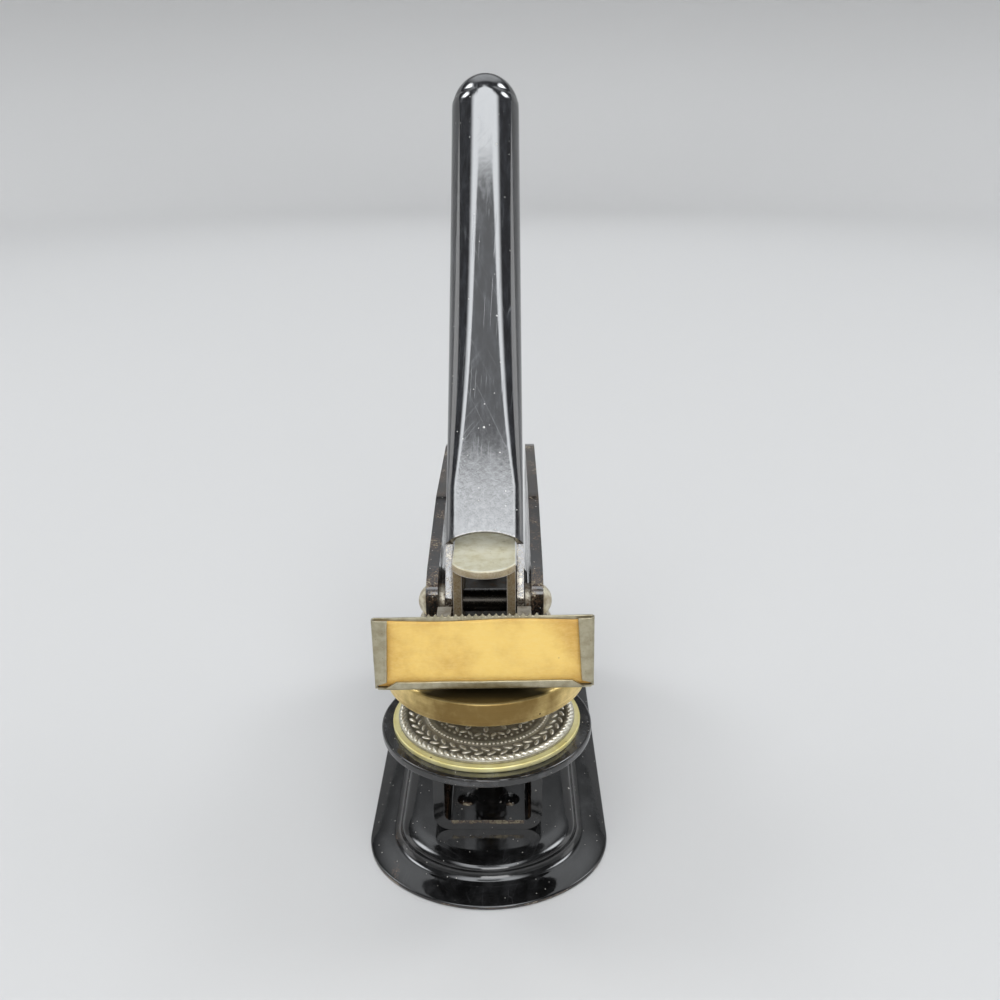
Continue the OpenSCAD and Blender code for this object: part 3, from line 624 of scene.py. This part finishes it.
def engraved_metal(name):
    """Cast white metal: bright on its high spots, dark grease round the relief."""
    material, place = open_finish(name)
    level = place.part("Z")
    high = rise(level, plate_z - 0.10, plate_z + 0.12)
    low = rise(level, plate_z - 0.06, plate_z - 0.19)
    cloud = grain(place, 1.3, 4.0, rough=0.65)
    fleck = grain(place, 0.2, 3.0)
    ground = tint(rise(cloud, 0.35, 0.7), (0.40, 0.375, 0.30, 1), (0.68, 0.65, 0.55, 1))
    ground = tint(low * rise(cloud, 0.3, 0.6) * 0.8, ground, (0.15, 0.135, 0.105, 1))
    bright = tint(fleck, (0.78, 0.75, 0.64, 1), (0.95, 0.93, 0.84, 1))
    share = rise(high + (fleck - 0.5) * 0.5, 0.25, 0.8)
    close_finish(place, tint(share, ground, bright), 0.42 - share * 0.12 + fleck * 0.12,
                 0.62 + share * 0.25, fleck * 0.6 + cloud * 0.4, 0.03)
    return material


die_finish = engraved_metal("engraved_white_metal")
piece("engraved_die", die_points, die_faces, "stand", die_finish, "lower_die")

# ---- brass die and counter die ----------------------------------------------
# The brass body is turned from bar; the counter die under it answers the relief.
# A slotted screw holds both up under the ram.

# The brass die carries a painted shadow on its upper face and a painted dark reflection on its
# front.
brass_finish = round_brass("turned_brass", (0.97, 0.76, 0.33, 1), (0.74, 0.54, 0.20, 1),
                           (0.17, 0.10, 0.028, 1), marks=0.55, spotted=0.2, metal=0.92,
                           tray_shadow_r=20.4, dark_reflection=0.9)
dress("upper_die", brass_finish, 0.22)
counter_finish = round_brass("dark_brass", (0.55, 0.42, 0.20, 1), (0.36, 0.26, 0.11, 1),
                             (0.16, 0.10, 0.04, 1), marks=0.6, rough=0.32, spotted=0.3)
dress("counter_die", counter_finish, 0.12)
dress("upper_die_screw", screw_steel, 0.2)

# ---- ram and stirrup --------------------------------------------------------
# The ram is a sawn steel block, near black as painted shade inside the stirrup.  Its
# nickel-plated stirrup goes up both sides of the pin and closes over it with a cap,
# bowed in front, which is rubbed yellow where the nickel is thin.

# Painted shade: the block is near black for the shade inside the stirrup.
shade_dark_steel = plain_steel("block_in_shade", (0.06, 0.056, 0.05, 1), (0.025, 0.023, 0.02, 1),
                          rough=0.35)
dress("ram_block", shade_dark_steel, 0.25)


def old_nickel(name, bright, dull, brown, spots=0.2, rough=0.2, metal=0.8, darkened=None):
    """Nickel plate over steel, cloudy and pitted, with brown where it has lifted, and
    brown all over where a given darkening nears 1.  Its sharp edges are lighter, both worn and a
    painted highlight."""
    material, place = open_finish(name)
    cloud = grain(place, 2.2, 4.0, rough=0.62)
    fine = grain(place, 0.3, 4.0, rough=0.7)
    pits = specks(place, 0.7, 0.11, spots)
    lifted = rise(cloud * 0.75 + fine * 0.45, 0.72, 0.86)
    colour = tint(rise(cloud, 0.32, 0.72), bright, dull)
    if darkened:
        colour = tint(darkened(place) * (0.30 + fine * 0.9), colour, brown)
    colour = tint(lifted * 0.75 + pits * 0.6, colour, brown)
    # Sharp edges are lighter: worn edges and a painted highlight.
    edge_wear_and_highlight = tuple(min(0.95, 1.45 * c) for c in bright[:3]) + (1,)
    colour = tint(rise(edge_of(place, 0.4), 0.03, 0.25) * 0.8, colour, edge_wear_and_highlight)
    roughness = rough + cloud * 0.16 + fine * 0.12 + lifted * 0.2
    close_finish(place, colour, roughness, metal - lifted * 0.35,
                 fine * 0.5 + cloud * 0.3 - pits * 0.6, 0.03)
    return material


cap_top = span("stirrup")[1].z


def leg_and_rim_shade(place):
    """Painted shade on the legs under the cap and round the cap's rim: below its top the cap is
    darkened brown.
    """
    depth = cap_top - place.part("Z")
    return rise(depth, 0.30, 0.55) * 0.95 + rise(depth, 1.6, 2.4) * 0.15


# The stirrup's rim and its legs below the cap's top carry painted shade.
stirrup_finish = old_nickel("stirrup_nickel", (0.98, 0.94, 0.74, 1), (0.80, 0.74, 0.50, 1),
                            (0.26, 0.17, 0.085, 1), spots=0.25, metal=0.6, darkened=leg_and_rim_shade)
dress("stirrup", stirrup_finish, 0.35)

# ---- lever ------------------------------------------------------------------
# A channel pressed from 1.5 mm sheet, flat-backed with tight folds beside the pivot
# and half-round in the hand, with a closed tip.  Its side walls run down past the
# pin as two cams.  It is dipped in black enamel and polished by use.

hinge = next(j for j in frame["joints"] if j["name"] == "lever_press")
pin_y, pin_z = hinge["pos_m"][1] / MM, hinge["pos_m"][2] / MM
press_turn = radians(hinge["range_deg"][1])
lever_half = span("lever")[1].x
lean = radians(54.5)
wall = 1.5
lever_l = 134.5
tip_gap = 0.02
tip_start = lever_l - lever_half - tip_gap
back_height, wall_drop = 8.0, 3.6
fold_root, fold_growth, fold_length = 2.3, 4.95, 30.0
swell_start, swell_length = 24.0, 74.0
arch_start, arch_rise = 11.3, 2.3
arch_r = (lever_half ** 2 + arch_rise ** 2) / (2 * arch_rise)
boss_r = 4.5
cam_start = pin_z - span("ram_block")[1].z
cam_rate = drop / press_turn
weld_gap = 0.02


def along_lever(y, z):
    """(distance along the lever, height over its line) of a point beside the pivot."""
    return (y * cos(lean) + z * sin(lean), -y * sin(lean) + z * cos(lean))


def drop_at(u):
    """Height of the walls' lower edge at u, clear of the cams: it rises towards the hand."""
    s = min(1.0, max(0.0, (u - swell_start) / swell_length))
    return -wall_drop * (1 - 0.45 * (s * s * (3 - 2 * s)))


def cam_point(t, ahead=0.0, up=0.0):
    """The cam's contact point once the lever has turned by t: the cam is an involute."""
    reach = cam_start + cam_rate * t
    return along_lever(reach * sin(t) + cam_rate * cos(t) + ahead,
                       -reach * cos(t) + cam_rate * sin(t) + up)


def eased(corners):
    """Line through (u, p, radius) corners, each rounded to its radius."""
    line = [Vector(corners[0][:2])]
    for before, here, after in zip(corners, corners[1:], corners[2:]):
        at, r = Vector(here[:2]), here[2]
        back = (Vector(before[:2]) - at).normalized()
        on = (Vector(after[:2]) - at).normalized()
        half = acos(max(-1.0, min(1.0, back.dot(on)))) / 2
        cut = r / tan(half)
        for k in range(7):
            s = k / 6
            line.append((1 - s) ** 2 * (at + back * cut) + 2 * s * (1 - s) * at
                        + s ** 2 * (at + on * cut))
    return [tuple(q) for q in line + [Vector(corners[-1][:2])]]


lobe_end = press_turn + radians(4)
lower_edge = circle_arc((0, 0), boss_r, 184, 215, 7)
lower_edge += [cam_point(t) for t in np.linspace(0, press_turn, 16)]
lower_edge += eased([(*cam_point(lobe_end), 0), (*cam_point(lobe_end, 0.6, 1.8), 1),
                     (17, -wall_drop - 3.5, 6), (28, -wall_drop, 6), (40, drop_at(40), 0)])
lower_edge += [(u, drop_at(u)) for u in np.arange(45, lever_l + 1, 5.0)]
cheek_top = back_height - fold_root
upper_edge = circle_arc((0, 0), boss_r, 176, 142, 7)
upper_edge += eased([(-3.3, 3.1, 0), (*along_lever(-5.2, 3.4), 2), (5.0, 6.75, 0)])
upper_edge = [(u, min(p, cheek_top)) for u, p in upper_edge]


def edge_at(edge, u):
    """Height of an edge of a wall at u along the lever."""
    return float(np.interp(u, [e[0] for e in edge], [e[1] for e in edge]))


def arch_at(x):
    """Where along the lever its back begins, x off its middle: it is cut to an arch."""
    return arch_start + arch_rise - (arch_r - sqrt(arch_r ** 2 - x ** 2))


wall_rows, fold_rows, web_rows = 9, 14, 6


def lever_section(half, top, bottom, fold):
    """Half a section as (x, p), from a wall's lower edge up over the fold to the middle."""
    wall_line = [(half, p) for p in np.linspace(bottom, top - fold, wall_rows + 1)]
    bend = circle_arc((half - fold, top - fold), fold, 0, 90, fold_rows)
    web = [(x, top) for x in np.linspace(half - fold, 0, web_rows + 1)]
    return wall_line + bend[1:] + web[1:]


lever_rings = []
for share in np.linspace(0, 1, 9):
    section = lever_section(lever_half, back_height, -wall_drop, fold_root)
    ring = []
    for index, (x, p) in enumerate(section):
        u = arch_at(x) + (swell_start - arch_at(x)) * share
        if index <= wall_rows:
            bottom = edge_at(lower_edge, u)
            p = bottom + (cheek_top - bottom) * index / wall_rows
        ring.append((x, u, p))
    lever_rings.append(ring)
for u in [*np.arange(swell_start + 2.5, tip_start, 2.5), tip_start]:
    fold = fold_root + fold_growth * (1 - exp(-(u - swell_start) / fold_length))
    section = lever_section(lever_half, back_height, edge_at(lower_edge, u), fold)
    lever_rings.append([(x, u, p) for x, p in section])
tip_bottom = edge_at(lower_edge, tip_start)
for a in np.radians(np.linspace(0, 90, 19))[1:]:
    half = max(lever_half * cos(a), 1e-4)
    top = -1 + (back_height + 1) * max(cos(a), 0.0) ** 0.7
    u = tip_start + lever_half * sin(a)
    lever_rings.append([(x, u, p) for x, p in lever_section(half, top, tip_bottom, half * 0.998)])

lever_mesh = bmesh.new()


def lever_point(x, u, p):
    """Vertex at a place given along the lever at rest."""
    y = u * cos(lean) - p * sin(lean)
    z = u * sin(lean) + p * cos(lean)
    return lever_mesh.verts.new((x * MM, (pin_y + y) * MM, (pin_z + z) * MM))


rows = []
for ring in lever_rings:
    right = [lever_point(*q) for q in ring]
    left = [lever_point(-x, u, p) for x, u, p in ring[:-1]]
    rows.append(right + left[::-1])
for low_row, high_row in zip(rows, rows[1:]):
    for i in range(len(low_row) - 1):
        lever_mesh.faces.new((low_row[i], low_row[i + 1], high_row[i + 1], high_row[i]))
for side in (1, -1):
    ahead_row = rows[0][:wall_rows + 1] if side == 1 else rows[0][:-wall_rows - 2:-1]
    for u in [*np.linspace(arch_start - 0.35, 2.0, 22), *np.linspace(1.6, -boss_r * 0.99, 22)]:
        low, high = edge_at(lower_edge, u), edge_at(upper_edge, u)
        row = [lever_point(side * lever_half, u, low + (high - low) * k / wall_rows)
               for k in range(wall_rows + 1)]
        for k in range(wall_rows):
            quad = (row[k], row[k + 1], ahead_row[k + 1], ahead_row[k])
            lever_mesh.faces.new(quad if side == 1 else quad[::-1])
        ahead_row = row
bmesh.ops.remove_doubles(lever_mesh, verts=lever_mesh.verts, dist=weld_gap * MM)
bmesh.ops.recalc_face_normals(lever_mesh, faces=lever_mesh.faces)
top_face = max(lever_mesh.faces, key=lambda f: f.calc_center_median().z)
if top_face.normal.z < 0:
    bmesh.ops.reverse_faces(lever_mesh, faces=lever_mesh.faces)
lever_data = bpy.data.meshes.new("pressed_lever")
lever_mesh.to_mesh(lever_data)
lever_mesh.free()
lever_data.shade_smooth()
pressed_lever = placed("pressed_lever", lever_data)


def lever_enamel(name, cut=False):
    """Black enamel rubbed by the hand: long fine scratches, specks, a bare tip.  On the
    cut edges of the sheet it is worn off round the front."""
    material, place = open_finish(name)
    moved = place.node("VectorMath", {"operation": "SUBTRACT"}, {0: place, 1: (0, pin_y, pin_z)})
    moved = moved.node("VectorRotate", {"rotation_type": "X_AXIS"},
                       {"Vector": moved, "Angle": -lean})
    far = moved.part("Y")
    cloud = grain(moved, 8, 4.0, (1, 0.35, 1), rough=0.6)
    fleck = grain(moved, 0.5, 4.0, rough=0.7)
    tip = rise(far, lever_l - 3.5, lever_l + 0.5)
    root = rise(far, 15.0, 11.8)
    mist = grain(moved, 1.1, 5.0, (1, 0.6, 1), (2, 8, 5), 0.75)
    matted = rise(far, 44.0, 16.0) * rise(mist, 0.35, 0.70)
    rubbed = tip * 0.45 + root * 0.22 + (fleck - 0.5) * 1.5 + (cloud - 0.5) * 1.1
    if cut:
        rubbed = rubbed + 0.18 + rise(far, 16.0, 13.5) * 0.34
    bare = rise(rubbed, 0.66, 0.80)
    brown = rise(rubbed, 0.42, 0.76)
    long = scratches(moved, "Z", 3, 1.6, 0.03, (3, 1, 2))
    slant = scratches(moved, "Z", -24, 2.6, 0.035, (8, 5, 2))
    cross = scratches(moved, "Z", 38, 3.4, 0.035, (4, 2, 6))
    dots = specks(moved, 1.2, 0.14, 0.16) + specks(moved, 3.1, 0.30, 0.1)
    haze = rise(grain(moved, 1.5, 6.0, (1, 0.22, 1), (9, 2, 4), 0.72), 0.40, 0.74)
    paint = tint(cloud, (0.006, 0.006, 0.007, 1), (0.014, 0.014, 0.016, 1))
    paint = tint(haze * 0.5, paint, (0.055, 0.060, 0.070, 1))
    scratched = long * 0.6 + slant * 0.35 + cross * 0.3
    paint = tint(scratched * 0.5, paint, (0.20, 0.21, 0.22, 1))
    paint = tint(brown, paint, (0.07, 0.045, 0.03, 1))
    colour = tint(bare, paint, tint(fleck, (0.66, 0.63, 0.56, 1), (0.34, 0.31, 0.26, 1)))
    colour = tint(dots, colour, (0.55, 0.54, 0.50, 1))
    roughness = 0.05 + haze * 0.09 + matted * 0.16 + scratched * 0.14 + bare * 0.26 + dots * 0.5
    height = grain(moved, 1.6, 1.0) * 0.12 + matted * 0.35 - bare * 0.4 + dots * 0.5
    close_finish(place, colour, roughness, bare * 0.85, height - scratched * 0.2, 0.03, 2.4)
    return material


lever_data.materials.append(lever_enamel("lever_enamel"))
lever_data.materials.append(lever_enamel("lever_cut_edge", cut=True))
sheet_wall = pressed_lever.modifiers.new("sheet", "SOLIDIFY")
sheet_wall.thickness = wall * MM
sheet_wall.offset = -1
sheet_wall.use_even_offset = True
sheet_wall.material_offset_rim = 1
round_edges(pressed_lever, 0.28, 50)
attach(pressed_lever, "hand_lever")
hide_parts("lever")

# ---- pivot ------------------------------------------------------------------
# A 5 mm steel pin, its heads domed over the ears with a set, and two washers that
# keep the lever off the frame.


def pin_with_shade(name):
    """The pin: near black where it runs between the ears, as painted shade, and pale and stained
    on its heads.
    """
    material, place = open_finish(name)
    head = rise(abs(place.part("X")), 8.6, 9.2)
    cloud = grain(place, 1.6, 4.0, rough=0.6)
    fine = grain(place, 0.25, 3.0, (1, 0.2, 0.2))
    # Painted shade: the shaft between the ears is near black.
    shaft_shade = tint(cloud, (0.012, 0.011, 0.010, 1), (0.04, 0.036, 0.03, 1))
    pale = tint(rise(cloud, 0.3, 0.7), (0.70, 0.66, 0.52, 1), (0.38, 0.31, 0.21, 1))
    close_finish(place, tint(head, shaft_shade, pale), 0.22 + head * 0.2 + cloud * 0.1,
                 0.9 - head * 0.25, fine * 0.5 + cloud * 0.4, 0.02)
    return material


dress("pivot_pin", pin_with_shade("pin_with_shade"), 0.1)
washer_steel = plain_steel("washer_steel", (0.42, 0.39, 0.32, 1), (0.16, 0.14, 0.11, 1),
                           rust=0.5, rough=0.4)
dress("pivot_washers", washer_steel, 0.15)

# ---- label holder -----------------------------------------------------------
# A nickelled strip is riveted to the ears and carries a tray of tinned sheet with a
# toothed upper edge and mitred, dented lips.  The card is bare.

bracket_finish = old_nickel("bracket_nickel", (0.50, 0.46, 0.39, 1), (0.30, 0.26, 0.20, 1),
                            (0.16, 0.095, 0.05, 1), spots=0.35, rough=0.3)
dress("label_bracket", bracket_finish, 0.18)
rivet_steel = plain_steel("rivet_steel", (0.66, 0.62, 0.50, 1), (0.42, 0.37, 0.27, 1),
                          rust=0.25, rough=0.36)
dress("bracket_rivets", rivet_steel)
dress("label_rivets", rivet_steel)

tin_finish = old_nickel("tray_tin", (0.47, 0.43, 0.31, 1), (0.34, 0.30, 0.20, 1),
                        (0.15, 0.10, 0.05, 1), spots=0.3, metal=0.82)

tray_low, tray_high = span("label_frame")
tray_t, bend_r = 0.5, 0.45
lip_top, lip_foot, lower_lip = 3.1, 2.3, 1.8
lip_steps, sill_steps = 18, 60
tooth_count, tooth_pitch, tooth_h = 17, 1.36, 0.6
tooth_line = ((0.2, 0.12), (0.4, 0.75), (0.5, 1.0), (0.6, 0.75), (0.8, 0.12), (1.0, 0.0))
tray_back = tray_high.y - tray_t / 2
tray_front = tray_low.y + tray_t / 2
tray_side = tray_high.x - tray_t / 2
tray_foot = tray_low.z + tray_t / 2
tray_head = tray_high.z - 0.45
tray_mid = (tray_low.z + tray_high.z) / 2
tilt = radians(-0.7)


def set_square(points):
    """The tray and its card hang a little off level, as the tray's two rivets let them."""
    return [(x * cos(tilt) + (z - tray_mid) * sin(tilt), y,
             tray_mid - x * sin(tilt) + (z - tray_mid) * cos(tilt)) for x, y, z in points]


def folded(reach, proud):
    """Across a fold, from the back to the lip's edge: (distance in from the wall, y).
    The lip's edge is reach in and stands proud of its fold."""
    line = [(0.0, tray_back), (0.0, tray_front + bend_r)]
    line += circle_arc((bend_r, tray_front + bend_r), bend_r, 210, 270, 2)
    return line + [(bend_r + (reach - bend_r) * k / 4, tray_front - proud * k / 4)
                   for k in (1, 2, 3, 4)]


def dent(x, z):
    """The lips are dented here and there."""
    return 0.16 * sin(1.9 * z + 0.4 * x) * sin(0.83 * z + 2.1) + 0.10 * sin(0.55 * x + z)


tray_points, tray_faces = [], []
teeth_line = [(-tray_side, tray_head), (-tooth_count * tooth_pitch / 2, tray_head)]
for i in range(tooth_count):
    x = (i - tooth_count / 2) * tooth_pitch
    teeth_line += [(x + across * tooth_pitch, tray_head + up * tooth_h)
                   for across, up in tooth_line]
teeth_line.append((tray_side, tray_head))
plate = [(x, tray_back, z) for x, z in teeth_line]
plate += [(x, tray_back, tray_foot) for x, z in teeth_line]
add(tray_points, tray_faces, plate, skin_faces(2, len(teeth_line)))
for side in (-1, 1):
    rows = []
    for share in np.linspace(0, 1, lip_steps + 1):
        line = folded(lip_foot + (lip_top - lip_foot) * share, 0.22)
        for index, (inward, y) in enumerate(line):
            foot = tray_foot + (0.0 if index < 2 else 0.9 + 0.42 * inward)
            z = foot + (tray_head - foot) * share
            push = dent(side * 22, z) * min(1.0, inward / 1.5)
            rows.append((side * (tray_side - inward), y + push, z))
    add(tray_points, tray_faces, rows, skin_faces(lip_steps + 1, len(line)))
rows = []
for share in np.linspace(-1, 1, sill_steps + 1):
    line = folded(lower_lip, 0.18)
    for index, (inward, y) in enumerate(line):
        half = tray_side - 0.2 if index < 2 else tray_side - 1.5 - 1.5 * inward
        push = 0.5 * dent(share * half, 50) * min(1.0, inward / 1.5)
        rows.append((share * half, y + push, tray_foot + inward))
add(tray_points, tray_faces, rows, skin_faces(sill_steps + 1, len(line)))
tray = piece("label_tray", set_square(tray_points), tray_faces, "stand", tin_finish,
             "label_frame")
tray_wall = tray.modifiers.new("sheet", "SOLIDIFY")
tray_wall.thickness = tray_t * MM
tray_wall.offset = 0
round_edges(tray, 0.1, 50, segments=2)

card_low, card_high = span("label_card")
card_across, card_up = 56, 20
card_t, card_gap = 0.16, 0.17


def card_point(i, k, depth):
    """A point of the card: its middle bows back, its ends forward, its top is wavy."""
    a, b = i / card_across, k / card_up
    bow = 0.10 * sin(pi * a) * sin(pi * b) - 0.10 * (2 * a - 1) ** 6
    wave = 0.30 * sin(9 * a + 2.0) * b ** 4
    x = card_low.x + (card_high.x - card_low.x) * a
    z = card_low.z + (card_high.z - card_low.z - 0.25 + 0.7 * wave) * b
    return (x, card_high.y - card_gap - depth + bow * 0.9, z)


row_size = card_across + 1
card_points = set_square([card_point(i, k, depth) for depth in (card_t, 0.0)
                          for k in range(card_up + 1) for i in range(row_size)])
front_sheet = skin_faces(card_up + 1, row_size)
sheet_size = row_size * (card_up + 1)
card_faces = front_sheet + [tuple(sheet_size + q for q in f[::-1]) for f in front_sheet]
rim = (list(range(row_size))
       + [k * row_size + card_across for k in range(1, card_up + 1)]
       + [card_up * row_size + i for i in range(card_across - 1, -1, -1)]
       + [k * row_size for k in range(card_up - 1, 0, -1)])
card_faces += [(b, a, a + sheet_size, b + sheet_size) for a, b in zip(rim, rim[1:] + rim[:1])]


def aged_card(name):
    """Buff card, browned from its edges, with fibres, foxing and a rubbed surface."""
    material, place = open_finish(name)
    middle = (card_low + card_high) / 2
    half = (card_high - card_low) / 2
    side = abs(place.part("X") - middle.x) / half.x
    updown = abs(place.part("Z") - middle.z) / half.z
    cloud = grain(place, 8, 4.0, shift=(5, 5, 5), rough=0.6)
    fibre = grain(place, 0.35, 4.0, (0.35, 1, 1), rough=0.7)
    toned = rise(side ** 5.0 * 0.6 + updown ** 6.0 * 0.5 + (cloud - 0.5) * 1.6, -0.25, 0.85)
    foxing = specks(place, 2.6, 0.32, 0.15)
    colour = tint(toned, (0.90, 0.62, 0.17, 1), (0.58, 0.31, 0.06, 1))
    colour = tint(rise(fibre, 0.35, 0.75) * 0.25, colour, (0.92, 0.72, 0.32, 1))
    colour = tint(foxing * 0.5, colour, (0.36, 0.19, 0.07, 1))
    close_finish(place, colour, 0.62 + fibre * 0.2, 0.0, fibre * 0.7 + cloud * 0.3, 0.03)
    return material


piece("bare_card", card_points, card_faces, "stand", aged_card("buff_card"),
      "label_card")

# ---- studio -----------------------------------------------------------------
# A plain pale sweep, a lamp box on each side, one in front, and a dim sky with bright
# panels.  The camera stands in front and above, and looks down at the embosser by
# 20 degrees.

sweep_half, sweep_r, sweep_top, sweep_turns = 2500.0, 500.0, 1500.0, 96
sweep_line = [(1.0, 0.0), (sweep_half - sweep_r, 0.0)]
sweep_line += circle_arc((sweep_half - sweep_r, sweep_r), sweep_r, -90, 0, 16)[1:]
sweep_line.append((sweep_half, sweep_top))
sweep_points = [(r * cos(a) * MM, r * sin(a) * MM, z * MM) for r, z in sweep_line
                for a in np.linspace(0, 2 * pi, sweep_turns, endpoint=False)]
sweep_faces = skin_faces(len(sweep_line), sweep_turns, closed=True) + [tuple(range(sweep_turns))]
sweep_mesh = bpy.data.meshes.new("studio_sweep")
sweep_mesh.from_pydata(sweep_points, [], sweep_faces)
sweep_mesh.shade_smooth()
sweep_finish, sweep_place = open_finish("pale_sweep")
close_finish(sweep_place, (0.60, 0.595, 0.59, 1), 0.6, 0.0)
sweep_mesh.materials.append(sweep_finish)
studio_sweep = placed("studio_sweep", sweep_mesh)

sky = bpy.data.worlds.new("studio_sky")
bpy.context.scene.world = sky
sky.use_nodes = True
sky.node_tree.nodes.clear()
look = Wire(sky.node_tree).node("TexCoord", out="Generated")


def sky_patch(x, y, half_x, half_y, soft):
    """1 inside a rounded rectangle of the sky, 0 outside, alike on both sides.  It is given
    by parts of directions, sideways and forward; soft is the share of it that fades."""
    sideways = abs((abs(look.part("X")) - x) / half_x)
    forward = abs((look.part("Y") - y) / half_y)
    reach = (sideways ** 3.0 + forward ** 3.0) ** 0.3333
    return rise(reach, 1 + soft, 1 - soft) * rise(look.part("Z"), 0.0, 0.1)


front_gap = sky_patch(0, -0.480, 0.165, 0.125, 0.16) * 0.87
front_panel = sky_patch(0, -0.45, 0.42, 0.34, 0.30) * 3.8 * (1 - front_gap)
rear_panel = sky_patch(0, 0.48, 0.40, 0.30, 0.3)
side_panels = sky_patch(0.58, 0.26, 0.10, 0.14, 0.6) * 8.0
glow = 0.10 + front_panel + rear_panel + side_panels
sky_light = look.node("Background", {}, {"Color": (0.94, 0.97, 1.0, 1), "Strength": glow})
sky_light.node("OutputWorld", {}, {"Surface": sky_light})


def soft_box(name, at, aim, width, height, watts):
    """A rectangular lamp at a place in millimetres, facing another."""
    lamp = bpy.data.lights.new(name, "AREA")
    lamp.shape = "RECTANGLE"
    lamp.size = width * MM
    lamp.size_y = height * MM
    lamp.energy = watts
    made = placed(name, lamp)
    made.location = Vector(at) * MM
    made.rotation_euler = (Vector(aim) - Vector(at)).to_track_quat("-Z", "Y").to_euler()


heart = Vector((0, -10, 90))
for side in (-1, 1):
    soft_box("side_box", (side * 800, 160, 330), heart, 400, 500, 0.5)
soft_box("front_box", (200, -1650, 900), heart, 900, 700, 9.0)

frame_px, lens_px = 1000, 1021.6
camera_place = Vector((5.38, -242.88, 161.33))
pitch, yaw, roll = radians(19.93), radians(-0.54), radians(-0.52)
ahead = Vector((sin(yaw) * cos(pitch), cos(yaw) * cos(pitch), -sin(pitch)))
level = Vector((cos(yaw), -sin(yaw), 0))
above = level.cross(ahead)
right = cos(roll) * level + sin(roll) * above
upward = -sin(roll) * level + cos(roll) * above
camera_data = bpy.data.cameras.new("photo_camera")
camera_data.sensor_width = 36
camera_data.lens = lens_px / frame_px * camera_data.sensor_width
camera_data.clip_start = 0.01
camera = placed("photo_camera", camera_data)
turned = Matrix((right, upward, -ahead)).transposed()
camera.matrix_world = Matrix.Translation(camera_place * MM) @ turned.to_4x4()
bpy.context.scene.camera = camera
bpy.context.scene.view_settings.view_transform = "Standard"
